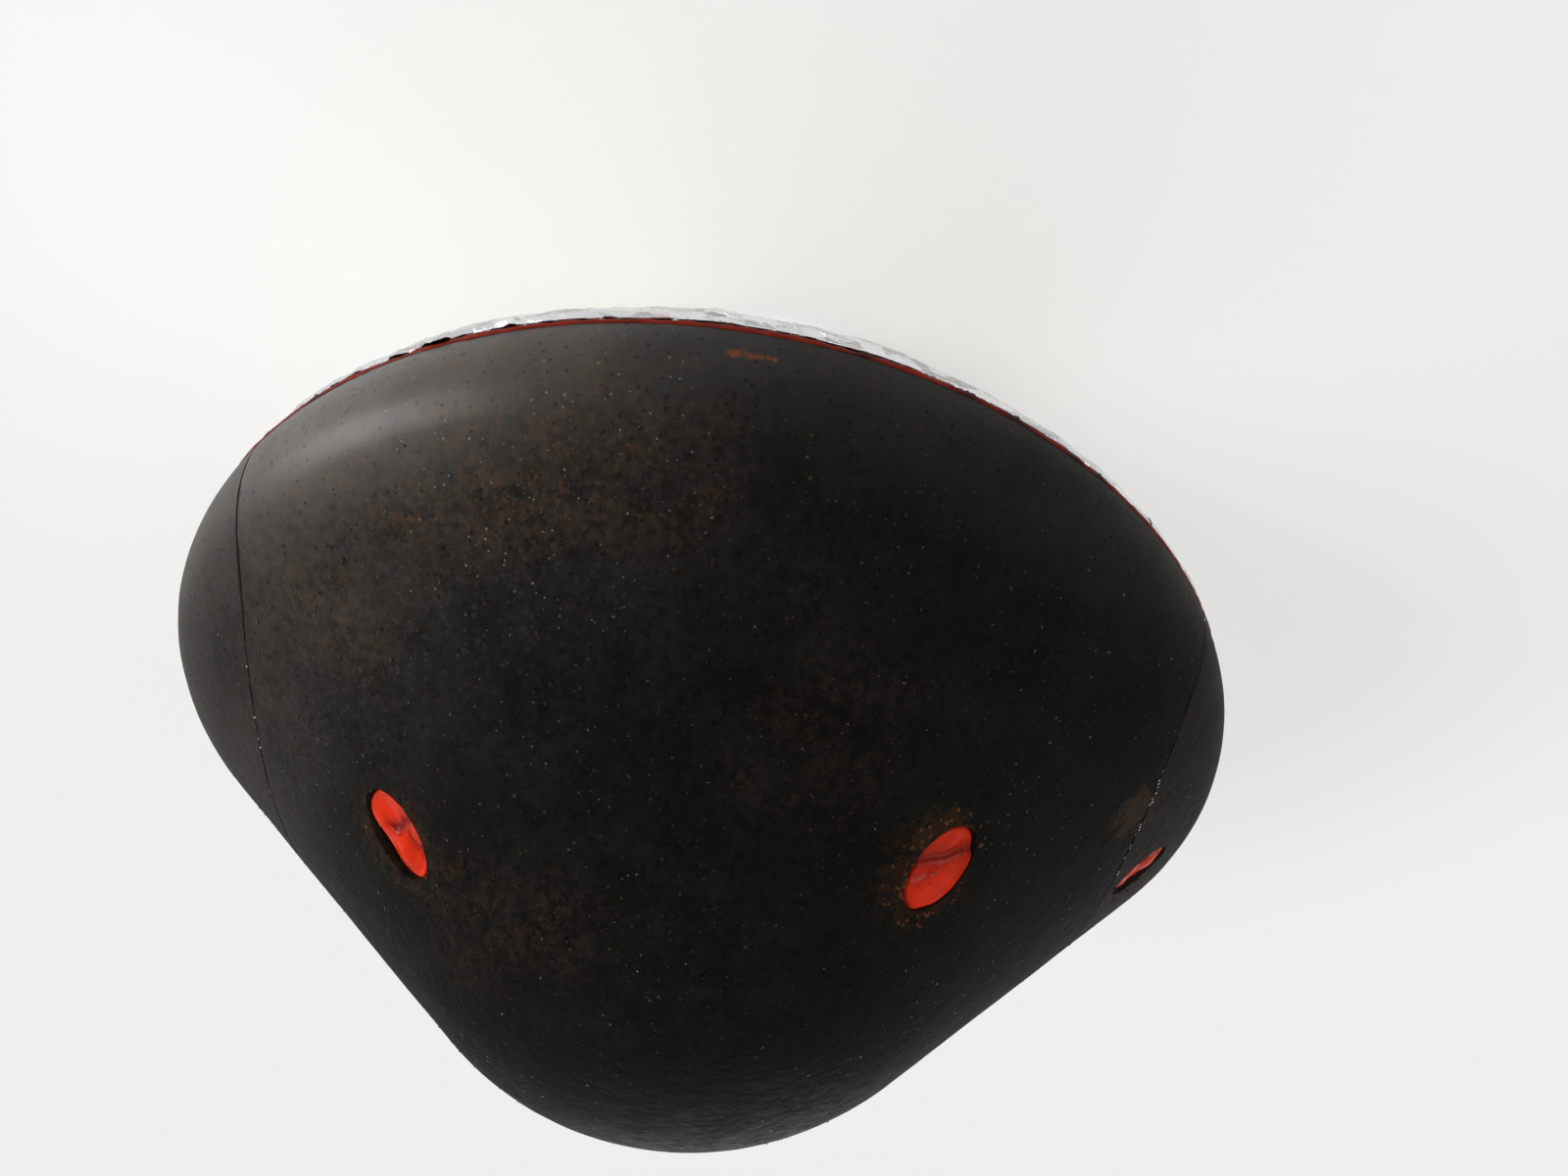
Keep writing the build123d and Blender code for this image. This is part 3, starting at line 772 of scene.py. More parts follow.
def silicone_finish(name, bright, shade_and_dirt_colour, roughness):
    """Glossy red silicone, darker by its points' crease value: painted shade in the plugs' creases, dirt on
    the seam bead.
    """
    n = new_finish(name, Specular_IOR_Level=0.06, Coat_Weight=0.10, Coat_Roughness=0.05, Coat_IOR=1.33)
    colour = n.mix(n.mask(BLOTCHES, 85.0, 0.35, 0.70), bright, shaded(bright, 0.72))
    # Darker where the points' crease value is high: painted shade in the plugs' creases and edges, dirt
    # near the seam's clumps.
    colour = n.mix(n.attribute("crease"), colour, shade_and_dirt_colour)
    grain = n.effect(GRAIN, 300.0, 1.2)
    rough = n.spread(grain["Tone"], 0.3, 0.7, roughness * 0.7, roughness * 1.6)
    return n.feed(colour, rough, height=grain["Height"], strength=0.10, depth=0.0006)


def film_finish():
    """Silver film crinkled into tilted facets, with faint handling marks, and some facets darker as a
    painted reflection.
    """
    n = new_finish("film")
    level = n.vector("MULTIPLY", n.place(), (1.0, 1.0, 2.4))
    stir = n.put("ShaderNodeTexNoise", {"Vector": level, "Scale": 45.0, "Detail": 2.0})["Color"]
    stirred = n.vector("MULTIPLY_ADD", stir, (0.011,) * 3, level)
    facet = n.cells(stirred, 78.0)
    across = n.vector("SUBTRACT", stirred, facet["Position"])
    lean = n.vector("SUBTRACT", facet["Color"], (0.5,) * 3)
    shade = n.put("ShaderNodeSeparateColor", {0: facet["Color"]})[0]
    marks = n.effect(HANDLING, 22.0, 9.0)
    colour = n.lay((0.80, 0.80, 0.81), (0.56, 0.54, 0.52), marks["Smudges"], 0.35)
    # Some facets darker: a painted reflection of darker surroundings in the tilted facets.
    colour = n.mix(n.spread(shade, 0.35, 1.0, 0.0, 0.55, smooth=False), colour, (0.50, 0.51, 0.54))
    red = n.attribute("red dab")
    colour = n.mix(red, colour, (0.52, 0.10, 0.06))
    soft = n.cloud(n.place(), 70.0, 4.0, 0.5, 0.6)
    wrinkles = n.cells(n.place(), 320.0, "DISTANCE_TO_EDGE")["Distance"]
    height = n.plus(n.times(wrinkles, 0.4), soft)
    height = n.plus(height, n.times(n.vector("DOT_PRODUCT", across, lean), 420.0))
    rough = n.spread(soft, 0.35, 0.68, 0.14, 0.34)
    metal = n.spread(red, 0.1, 0.7, 1.0, 0.0)
    return n.feed(colour, rough, metal, height=height, strength=0.60, depth=0.0016)


def coating_finish(name, tint):
    """Matt pale thermal coating with fine spray grain, smudges and rubbed edges."""
    n = new_finish(name, Specular_IOR_Level=0.35)
    _, _, z = n.axes()
    plain, yellowed = (0.66, 0.645, 0.605), (0.60, 0.57, 0.50)
    base, warm = (tuple(c * t for c, t in zip(colour, tint)) for colour in (plain, yellowed))
    marks = n.effect(HANDLING, 8.0, 4.0)
    streaks = n.mask(BLOTCHES, 22.0, 0.50, 0.78, (1.0, 1.0, 0.08))
    near_edge = n.calc("MAXIMUM", n.spread(z, 0.325, 0.372), n.spread(z, 0.055, 0.015))
    colour = n.mix(n.mask(BLOTCHES, 4.0, 0.36, 0.68), base, warm)
    for shares, coat in (
        ((marks["Smudges"], 0.22), (0.40, 0.37, 0.32)),
        ((streaks, 0.16), (0.34, 0.29, 0.23)),
        ((near_edge, n.mask(BLOTCHES, 30.0, 0.34, 0.66), 0.42), (0.22, 0.19, 0.16)),
        ((n.mask(SPECKS, 95.0, 0.12, 0.07), 0.6), (0.16, 0.13, 0.11)),
        ((marks["Scratches"], 0.30), (0.36, 0.35, 0.33)),
        ((n.mask(WORN_EDGE, 0.0012, 120.0), 0.75), (0.45, 0.45, 0.45)),
    ):
        colour = n.lay(colour, coat, *shares)
    grain = n.effect(GRAIN, 520.0, 0.6)
    rough = n.spread(grain["Tone"], 0.3, 0.7, 0.52, 0.74)
    return n.feed(colour, rough, height=grain["Height"], strength=0.16, depth=0.0005)


def turned_metal_finish(name, colour, low, high, pitch=0.0014):
    """Machined metal with fine lathe rings and rubbed edges."""
    n = new_finish(name, Metallic=1.0)
    marks = n.effect(TURNED_MARKS, pitch)
    tone = n.lay(colour, shaded(colour, 0.72), n.effect(HANDLING, 14.0, 7.0)["Smudges"], 0.55)
    tone = n.lay(tone, (0.86, 0.86, 0.87), n.mask(WORN_EDGE, 0.0010, 160.0), 0.6)
    rough = n.spread(marks["Tone"], 0.3, 0.7, low, high)
    return n.feed(tone, rough, height=marks["Height"], strength=0.10, depth=0.0003)


def plain_metal_finish(name, colour, low, high):
    """Metal with fine grain and smudges."""
    n = new_finish(name, Metallic=1.0)
    grain = n.effect(GRAIN, 900.0, 0.5)
    tone = n.lay(colour, shaded(colour, 0.6), n.effect(HANDLING, 30.0, 16.0)["Smudges"], 0.5)
    rough = n.spread(grain["Tone"], 0.3, 0.7, low, high)
    return n.feed(tone, rough, height=grain["Height"], strength=0.12, depth=0.0003)


def deck_finish():
    """Conversion-coated deck: pale gold with uneven patches."""
    n = new_finish("deck", Metallic=0.85)
    colour = n.mix(n.mask(BLOTCHES, 11.0, 0.35, 0.66), (0.58, 0.55, 0.42), (0.50, 0.53, 0.48))
    colour = n.lay(colour, (0.60, 0.50, 0.30), n.mask(BLOTCHES, 48.0, 0.40, 0.68), 0.4)
    grain = n.effect(GRAIN, 420.0, 0.7)
    rough = n.spread(grain["Tone"], 0.3, 0.7, 0.34, 0.55)
    return n.feed(colour, rough, height=grain["Height"], strength=0.12, depth=0.0004)


def window_finish():
    """Cream radome of glass cloth under a matt surface."""
    n = new_finish("radome", Specular_IOR_Level=0.4)
    threads = n.cells(n.place(), 650.0, "F1", 0.25)["Distance"]
    colour = n.mix(n.mask(BLOTCHES, 28.0, 0.35, 0.70), (0.70, 0.66, 0.55), (0.60, 0.55, 0.44))
    colour = n.mix(n.spread(threads, 0.35, 0.75, 0.0, 0.35), colour, (0.42, 0.38, 0.30))
    colour = n.lay(colour, (0.25, 0.19, 0.13), n.mask(SPECKS, 160.0, 0.16, 0.06), 0.5)
    rough = n.spread(threads, 0.2, 0.8, 0.42, 0.62)
    return n.feed(colour, rough, height=threads, strength=0.25, depth=0.0003)


def rubber_finish(name, colour, roughness, specular=0.4):
    """Matt rubber with a little bloom."""
    n = new_finish(name, Specular_IOR_Level=specular)
    pale = tuple(min(1.0, 1.6 * c + 0.004) for c in colour)
    colour = n.mix(n.mask(BLOTCHES, 60.0, 0.36, 0.68), colour, pale)
    grain = n.effect(GRAIN, 500.0, 0.8)
    rough = n.spread(grain["Tone"], 0.3, 0.7, roughness * 0.85, min(1.0, roughness * 1.15))
    return n.feed(colour, rough, height=grain["Height"], strength=0.2, depth=0.0004)


def cloth_finish():
    """Woven bag cloth."""
    n = new_finish("pack cloth", Specular_IOR_Level=0.3, Sheen_Weight=0.25, Sheen_Roughness=0.5)
    weave = n.effect(WEAVE, 0.0016)
    colour = n.mix(weave["Tone"], (0.60, 0.52, 0.37), (0.72, 0.66, 0.50))
    rough = n.spread(weave["Height"], -1, 1, 0.72, 0.90)
    return n.feed(colour, rough, height=weave["Height"], strength=0.4, depth=0.0004)


ABLATOR = ablator_finish()
# The second colour: painted shade on the plugs, dirt on the seam bead.
PLUG_SILICONE = silicone_finish("plug silicone", (0.80, 0.034, 0.006), (0.20, 0.006, 0.002), 0.24)
SEAM_SILICONE = silicone_finish("seam silicone", (0.19, 0.012, 0.005), (0.020, 0.004, 0.003), 0.36)
CRUMBS = rubber_finish("silicone crumbs", (0.062, 0.021, 0.007), 0.7, 0.10)
GRIT = rubber_finish("ablator grit", (0.026, 0.023, 0.020), 0.30, 0.25)
CHAR = rubber_finish("char", (0.020, 0.014, 0.012), 0.85)
# Pale grains that stand in for glints: painted glints.
GLINT = rubber_finish("painted glints", (0.62, 0.60, 0.56), 0.35)
JOINT_ADHESIVE = rubber_finish("joint adhesive", (0.010, 0.007, 0.006), 0.8, 0.05)
FILM = film_finish()
COATING = coating_finish("coating", (1.0, 1.0, 1.0))
COATING_SECOND = coating_finish("coating second", (0.955, 0.96, 0.965))
COATING_THIRD = coating_finish("coating third", (1.02, 1.0, 0.965))
HATCH_COATING = coating_finish("hatch coating", (0.925, 0.925, 0.925))
DISH_METAL = turned_metal_finish("dish metal", (0.60, 0.61, 0.62), 0.28, 0.46)
RING_METAL = turned_metal_finish("ring metal", (0.64, 0.64, 0.65), 0.24, 0.40)
CAN_METAL = turned_metal_finish("can metal", (0.58, 0.53, 0.42), 0.26, 0.42, 0.0030)
PLATED = plain_metal_finish("plated metal", (0.44, 0.43, 0.38), 0.30, 0.46)
STEEL = plain_metal_finish("fastener steel", (0.52, 0.52, 0.53), 0.26, 0.42)
CONTACT = plain_metal_finish("contact gold", (0.85, 0.60, 0.24), 0.18, 0.30)
BLOCK_ANODISE = plain_metal_finish("block anodise", (0.11, 0.11, 0.12), 0.42, 0.58)
DECK = deck_finish()
RADOME = window_finish()
INSERT = rubber_finish("connector insert", (0.035, 0.050, 0.045), 0.5)
GASKET = rubber_finish("gasket", (0.060, 0.058, 0.055), 0.75)
CLOTH = cloth_finish()

for finish, painted in (
    (COATING, ("backshell_panel_1", "parachute_lid")),
    (COATING_SECOND, ("backshell_panel_2",)),
    (COATING_THIRD, ("backshell_panel_3",)),
    (HATCH_COATING, ("access_hatch",)),
    (DISH_METAL, ("shield_dish",)),
    (RING_METAL, ("main_ring", "longerons", "hatch_land", "aft_ring", "aft_bulkhead")),
    (CAN_METAL, ("parachute_can",)),
    (DECK, ("payload_deck",)),
    (BLOCK_ANODISE, ("payload_block",)),
    (PLATED, ("umbilical_plate", "vent_port_1", "vent_port_2")),
    (RADOME, ("antenna_window_1", "antenna_window_2", "antenna_window_3")),
):
    for name in painted:
        nodes[name].data.materials.clear()
        nodes[name].data.materials.append(finish)


# Heat shield

NOSE_STEPS = 40
CONE_STEPS = 66
SHOULDER_STEPS = 22
FAR_OUT = 0.52


def arc(centre_r, centre_z, radius, start, end, steps):
    """Places on an arc after its first, as radius and height."""
    turns = [start + (end - start) * i / steps for i in range(1, steps + 1)]
    return [(centre_r + radius * math.cos(a), centre_z + radius * math.sin(a)) for a in turns]


def ablator_profile():
    """Outside of the ablator from the nose down to the seam, then its inside back up to the axis."""
    upright = math.pi / 2
    outside = [(0.0, OVERALL_HEIGHT)] + arc(0, NOSE_CENTRE, NOSE_RADIUS, upright, CONE_SLOPE, NOSE_STEPS)
    for i in range(1, CONE_STEPS + 1):
        r = CONE_START_R + (CONE_END_R - CONE_START_R) * i / CONE_STEPS
        outside.append((r, shield_z(r)))
    outside += arc(SHOULDER_R, SHOULDER_Z, SHOULDER_RADIUS, CONE_SLOPE, -SEAM_SLOPE, SHOULDER_STEPS)
    inner_nose = NOSE_RADIUS - ABLATOR_THICKNESS
    inner_r = inner_nose * math.cos(CONE_SLOPE)
    inner_z = NOSE_CENTRE + inner_nose * math.sin(CONE_SLOPE)
    rim_z = inner_z - (ABLATOR_RIM_RADIUS - inner_r) / math.tan(CONE_SLOPE)
    inside = [(ABLATOR_RIM_RADIUS, SEAM_Z), (ABLATOR_RIM_RADIUS, rim_z), (inner_r, inner_z)]
    return outside, inside + arc(0, NOSE_CENTRE, inner_nose, CONE_SLOPE, upright, 6)


def shield_waviness(point):
    """Unevenness of the hand-finished ablator, in metres."""
    slow = noise.noise(point * 9.0)
    medium = noise.noise(point * 34.0 + Vector((7, 1, 3)))
    quick = noise.noise(point * 95.0 + Vector((2, 5, 9)))
    return 0.00045 * slow + 0.00022 * medium + 0.00010 * quick


def oval_place(angle, beyond=0.0, share=1.0):
    """Place on a plug's outline in mm, moved outwards or shrunk to a share of it."""
    x = (PLUG_HALF_WIDTH + beyond) * share * math.cos(angle)
    return x, (PLUG_HALF_LENGTH + beyond) * share * math.sin(angle)


def plug_bore_cutter():
    """Bores for the plugs, with edges that are a little ragged and worn."""
    above = 9
    levels = ((-PLUG_BORE_DEPTH, 0, 0), (-1.6, 0.0, 1), (-0.5, 0.35, 1), (0.6, 1.5, 1), (above, 2.2, 0))
    parts = []
    for number, (azimuth, radius) in enumerate(PLUG_SITES):
        place = on_shield(azimuth, radius)
        bend = radius / math.cos(CONE_SLOPE) / MM
        rings = [[Vector((0, 0, -PLUG_BORE_DEPTH))]]
        for depth, grow, follow in levels:
            ring = []
            for a in angles(84):
                rough = noise.noise(Vector((math.cos(a) * 5, math.sin(a) * 5, number * 3.1)))
                x, y = oval_place(a, grow * (0.75 + 0.9 * rough))
                ring.append(Vector((x, y, depth - follow * x * x / (2 * bend))))
            rings.append(ring)
        rings.append([Vector((0, 0, above))])
        parts.append(skinned([[place @ (point * MM) for point in ring] for ring in rings]))
    return built_mesh("bores", *joined(parts))


def joint_wander(y, z):
    """How far a side joint wanders from its plane."""
    slow = noise.noise(Vector((1.5, y * 11, z * 11)))
    return 0.0011 * slow + 0.0004 * noise.noise(Vector((4, y * 60, z * 60)))


def joint_cutter(low, high):
    """Solid across X between two planes that wander as the side joints do; a plane far out is plain."""
    rows, columns = 60, 90
    grids = []
    for x in (low, high):
        grid = []
        for i in range(rows + 1):
            row = []
            for j in range(columns + 1):
                y, z = -0.5 + j / columns, 0.3 + 0.5 * i / rows
                wander = joint_wander(y, z) * (1 if x > 0 else -1) if abs(x) < FAR_OUT else 0.0
                row.append(Vector((x + wander, y, z)))
            grid.append(row)
        grids.append(grid)
    return built_mesh("joint cutter", *slab(*grids))


def make_ablator():
    """Heat shield in its three blocks, with its uneven surface and its plug bores."""
    outside, inside = ablator_profile()
    last = len(outside) - 1

    def uneven(point, index, azimuth):
        """Point on the profile moved in or out, with less of it towards the seam."""
        if index > last:
            return point
        level = Vector((point.x, point.y, 0)).normalized()
        if index <= NOSE_STEPS:
            out = (point - Vector((0, 0, NOSE_CENTRE))).normalized()
        elif index <= NOSE_STEPS + CONE_STEPS:
            out = leaning(level, CONE_SLOPE)
        else:
            out = (point - level * SHOULDER_R - Vector((0, 0, SHOULDER_Z))).normalized()
        share = min(1.0, (last - index) / 4) * (1.0 if math.hypot(point.x, point.y) < 0.44 else 0.7)
        return point + out * (shield_waviness(point) - 0.0002) * share

    whole = cut(built_mesh("ablator", *turned_piece(outside + inside, 540, uneven)), plug_bore_cutter())
    half_gap = 0.0008
    for name, node, low, high in (
        ("ablator_middle", "heat_shield", -SIDE_JOINT + half_gap, SIDE_JOINT - half_gap),
        ("ablator_side_1", "shield_side_1", SIDE_JOINT + half_gap, FAR_OUT),
        ("ablator_side_2", "shield_side_2", -FAR_OUT, -SIDE_JOINT - half_gap),
    ):
        mesh = smooth_up_to(cut(whole.copy(), joint_cutter(low, high), "INTERSECT"), 38)
        new_piece(name, mesh, ABLATOR, stands_for=node)


make_ablator()


# Silicone plugs. Each place is a share of the plug's radius: X across, Y up the slope towards the nose.
# A crease: two ends, depth and width in mm, and the step down from one side to the other.
# A lobe: place, spread across, spread up, height in mm. A gap: angle in degrees, its width, depth in mm.
# A lip: angle in degrees, its width, height in mm. A tilt: mm across and mm up the slope.
PLUG_FOLDS = {
    1: {
        "creases": (
            ((0.10, -0.16), (-0.60, -0.10), 3.4, 0.15, 1.8),
            ((-0.46, 0.16), (-0.62, 0.58), 2.4, 0.24, -1.6),
        ),
        "lobes": (
            (0.48, -0.50, 0.40, 0.42, 2.4),
            (0.14, 0.44, 0.32, 0.30, 3.0),
            (-0.12, -0.46, 0.26, 0.30, -1.4),
        ),
        "gaps": ((8, 36, 5.6), (-24, 20, 1.8)),
        "lips": ((96, 26, 0.9), (-115, 24, 1.3), (-60, 40, 0.7), (160, 40, 0.6)),
        "tilt": (-0.9, 0.2),
    },
    2: {
        "creases": (
            ((-0.85, 0.10), (0.25, 0.30), 3.0, 0.18, 3.0),
            ((0.35, -0.10), (0.60, -0.70), 2.2, 0.16, 1.4),
        ),
        "lobes": (
            (-0.30, 0.60, 0.45, 0.28, 1.9),
            (-0.25, -0.30, 0.42, 0.40, 2.2),
            (0.60, 0.25, 0.25, 0.35, 1.4),
        ),
        "gaps": ((-160, 28, 3.8),),
        "lips": ((60, 50, 1.3), (-30, 26, 0.9)),
        "tilt": (0.8, 0.3),
    },
    3: {
        "creases": (
            ((-0.10, 0.85), (0.15, -0.35), 2.8, 0.18, -2.8),
            ((-0.70, -0.40), (0.00, -0.55), 2.4, 0.17, 1.6),
        ),
        "lobes": (
            (0.52, 0.20, 0.32, 0.50, 2.2),
            (-0.50, 0.20, 0.32, 0.42, 1.8),
            (0.10, -0.72, 0.40, 0.20, 1.2),
        ),
        "gaps": ((-70, 26, 3.4),),
        "lips": ((150, 40, 1.2), (20, 24, 0.9)),
        "tilt": (0.3, 0.9),
    },
    4: {
        "creases": (
            ((0.72, -0.30), (-0.60, 0.22), 3.2, 0.17, -3.6),
            ((-0.30, -0.75), (-0.10, -0.20), 2.0, 0.16, 0.9),
        ),
        "lobes": (
            (0.15, 0.50, 0.50, 0.30, 2.2),
            (-0.20, -0.45, 0.40, 0.30, 1.8),
            (0.60, -0.60, 0.20, 0.20, 1.0),
        ),
        "gaps": ((100, 30, 4.0),),
        "lips": ((-30, 50, 1.3), (-150, 26, 1.0)),
        "tilt": (-0.4, -0.8),
    },
    5: {
        "creases": (
            ((0.30, 0.05), (-0.75, 0.25), 3.0, 0.18, 2.6),
            ((0.05, -0.70), (0.35, -0.15), 2.4, 0.16, -1.6),
        ),
        "lobes": (
            (0.40, 0.45, 0.35, 0.35, 2.4),
            (-0.30, -0.40, 0.40, 0.35, 2.2),
            (0.55, -0.45, 0.25, 0.25, 1.6),
        ),
        "gaps": ((150, 24, 3.2),),
        "lips": ((40, 40, 1.1), (-80, 30, 0.9)),
        "tilt": (0.6, -0.5),
    },
    6: {
        "creases": (
            ((0.70, 0.06), (-0.66, -0.60), 2.4, 0.30, 3.4),
            ((0.86, 0.45), (0.10, 0.22), 1.5, 0.22, 0.8),
        ),
        "lobes": (
            (0.24, -0.56, 0.52, 0.26, 2.4),
            (0.00, 0.56, 0.60, 0.34, 1.8),
            (-0.50, 0.05, 0.24, 0.40, 0.8),
        ),
        "gaps": ((10, 32, 3.4),),
        "lips": ((178, 58, 1.7), (-120, 30, 0.8), (95, 14, 1.0)),
        "tilt": (-0.8, 0.0),
    },
}


def crease_effect(x, y, crease):
    """Depth of a crease at a place, and the step across it."""
    (x1, y1), (x2, y2), depth, width, step = crease
    along = Vector((x2 - x1, y2 - y1))
    length = along.length
    along.normalize()
    offset = Vector((x - x1, y - y1))
    t = offset.dot(along) / length
    wander = 0.05 * math.sin(5 * t) + 0.015 * math.sin(13 * t + 1)
    side = along.x * offset.y - along.y * offset.x + wander
    fade = bell(max(0.0, -t, t - 1) * length, 0.22)
    sharp = depth * math.exp(-math.sqrt(side * side + 0.0009) / (width * 0.75)) * fade
    rise = step * fade * (1 / (1 + math.exp(side / 0.035)) - 0.5) * bell(side, 0.50)
    return sharp, rise


def plug_mesh(number):
    """Folded, glossy plug in its bore, with a value at each point for the painted shade in its creases and
    where it falls into the bore.
    """
    folds = PLUG_FOLDS[number]
    azimuth, radius = PLUG_SITES[number - 1]
    bend = radius / math.cos(CONE_SLOPE) / MM
    foot = -PLUG_BORE_DEPTH + GLUE_GAP / MM
    segments, steps = 96, 40
    rings, creases = [[(0, 0, -1.0)]], [0.0]
    for i in range(1, steps + 1):
        t = (i / steps) ** 0.85
        ring = []
        for a in angles(segments):
            angle = math.degrees(a)
            ragged = noise.noise(Vector((math.cos(a) * 3, math.sin(a) * 3, number)))
            inset = 0.15 - 0.25 * ragged + humps(angle, folds["gaps"])
            bx, by = oval_place(a, -inset, t)
            x, y = bx / PLUG_HALF_WIDTH, by / PLUG_HALF_LENGTH
            level = -3.2 + folds["tilt"][0] * x + folds["tilt"][1] * y
            for px, py, sx, sy, high in folds["lobes"]:
                level += high * bell(x - px, sx) * bell(y - py, sy)
            depth_here = 0.0
            for crease in folds["creases"]:
                sharp, rise = crease_effect(x, y, crease)
                level += rise - sharp
                depth_here = max(depth_here, sharp / 2.2)
            level += 0.28 * noise.noise(Vector((x * 2.6, y * 2.6, number * 5.3)))
            level += 0.07 * noise.noise(Vector((x * 7, y * 7, number * 2.3)))
            lip = humps(angle, folds["lips"])
            level += lip * 1.5 * bell(t - 0.95, 0.07)
            drop = max(0.0, (t - 0.84) / 0.16)
            level -= (4.2 - 2.6 * min(1.0, lip)) * drop**2.2
            ring.append((bx, by, min(level, 0.4) - bx * bx / (2 * bend)))
            # Painted shade: darker in the creases, and where the plug falls away into its bore unless a lip
            # holds it up.
            creases.append(min(1.0, depth_here + 0.35 * drop * max(0.0, 1 - lip)))
        rings.append(ring)
    for depth in (-6, foot):
        outline = [oval_place(a, -0.45 - humps(math.degrees(a), folds["gaps"])) for a in angles(segments)]
        rings.append([(x, y, depth) for x, y in outline])
    rings.append([(0, 0, foot)])
    # Painted shade: the sides down in the bore are fully dark.
    creases += [1.0] * (2 * segments + 1)
    place = on_shield(azimuth, radius)
    placed = [[place @ (Vector(point) * MM) for point in ring] for ring in rings]
    return marked(built_mesh(f"plug {number}", *skinned(placed), 55, merge=False), "crease", creases)


for number in PLUG_FOLDS:
    name, node = f"silicone_plug_{number}", f"shield_plug_{number}"
    new_piece(name, plug_mesh(number), PLUG_SILICONE, stands_for=node)


# Geometry trees for what repeats


def grains_tree():
    """Small irregular grains scattered over a surface, thicker where its "thick" attribute is high."""
    n = new_group(
        "scattered grains",
        ("Geometry",),
        "GeometryNodeTree",
        Surface="Geometry",
        Per_square_metre=1000.0,
        Smallest=0.0003,
        Largest=0.0012,
        Seed=3,
        Finish="Material",
    )
    seed = n.given["Seed"]
    thick = n.geo("InputNamedAttribute", {"Name": "thick"}, data_type="FLOAT")
    density = n.times(thick, n.given["Per square metre"])
    inputs = {"Mesh": n.given["Surface"], "Density": density, "Seed": seed}
    spots = n.put("GeometryNodeDistributePointsOnFaces", inputs)
    place = n.geo("InputPosition")
    bulge = n.put("ShaderNodeTexNoise", {"Vector": place, "Scale": 1.3, "Detail": 1.0})[0]
    shaped = n.vector("SCALE", place, Scale=n.spread(bulge, 0.3, 0.7, 0.6, 1.35, smooth=False))
    grain = n.geo("MeshIcoSphere", {"Radius": 1.0, "Subdivisions": 1})
    grain = n.geo("SetPosition", {"Geometry": grain, "Position": shaped})
    inputs = {2: n.given["Smallest"], 3: n.given["Largest"], "Seed": seed}
    span = n.put("FunctionNodeRandomValue", inputs, data_type="FLOAT")[1]
    inputs = {0: (0.7, 0.6, 0.22), 1: (1.3, 1.1, 0.50), "Seed": 11}
    flat = n.put("FunctionNodeRandomValue", inputs, data_type="FLOAT_VECTOR")[0]
    size = n.vector("SCALE", flat, Scale=span)
    return n.instances(spots["Points"], grain, n.spun(spots["Rotation"], 29), size, smooth=True)


def fasteners_tree(in_rows):
    """Fastener heads square on a cone, along rows at a spacing or at given points."""
    n = new_group(
        "fastener rows" if in_rows else "fasteners at points",
        ("Geometry",),
        "GeometryNodeTree",
        Places="Geometry",
        Head="Object",
        Spacing=0.03,
        Lean=0.0,
        Size=1.0,
        Seed=5,
        Finish="Material",
    )
    if in_rows:
        rows = n.geo("MeshToCurve", {"Mesh": n.given["Places"]})
        points = n.geo("ResampleCurve", {"Curve": rows, "Length": n.given["Spacing"]}, mode="LENGTH")
    else:
        points = n.geo("MeshToPoints", {"Mesh": n.given["Places"]})
    head = n.put("GeometryNodeObjectInfo", {"Object": n.given["Head"]})["Geometry"]
    return n.instances(points, head, n.spun(n.outward(), n.given["Seed"]), n.given["Size"])


def screen_tree():
    """Round woven wire screens square on a cone, at given points."""
    n = new_group(
        "wire screens",
        ("Geometry",),
        "GeometryNodeTree",
        Places="Geometry",
        Radius=0.006,
        Wires=13,
        Wire_radius=0.0002,
        Lean=0.0,
        Finish="Material",
    )
    across, wires = n.times(n.given["Radius"], 2.0), n.given["Wires"]
    inputs = {"Size X": across, "Size Y": across, "Vertices X": wires, "Vertices Y": wires}
    grid = n.geo("MeshGrid", inputs)
    away = n.vector("LENGTH", n.geo("InputPosition"))
    inputs = {0: away, 1: n.given["Radius"]}
    outside = n.put("FunctionNodeCompare", inputs, data_type="FLOAT", operation="GREATER_THAN")[0]
    kept = n.geo("DeleteGeometry", {"Geometry": grid, "Selection": outside}, domain="POINT")
    lines = n.geo("MeshToCurve", {"Mesh": n.geo("SplitEdges", {"Mesh": kept})})
    section = n.geo("CurvePrimitiveCircle", {"Resolution": 5, "Radius": n.given["Wire radius"]})
    screen = n.geo("CurveToMesh", {"Curve": lines, "Profile Curve": section})
    return n.instances(n.geo("MeshToPoints", {"Mesh": n.given["Places"]}), screen, n.outward())


GRAINS = grains_tree()
FASTENER_ROWS = fasteners_tree(True)
FASTENERS_AT = fasteners_tree(False)
SCREENS = screen_tree()


def lathe_part(name, profile, segments, recess=None):
    """Small turned part about Z from radius and height in mm, with a hexagonal socket if given."""
    rings = lathe_rings(profile, segments)
    if recess:
        across, top, depth = recess
        flats = [(a, across / math.cos(a % (math.pi / 3) - math.pi / 6)) for a in angles(segments)]
        for z in (top, top - depth):
            rings.append([Vector((flat * math.cos(a), flat * math.sin(a), z)) * MM for a, flat in flats])
        rings.append([Vector((0, 0, top - depth)) * MM])
    return bare_object(name, built_mesh(name, *skinned(rings), 35))


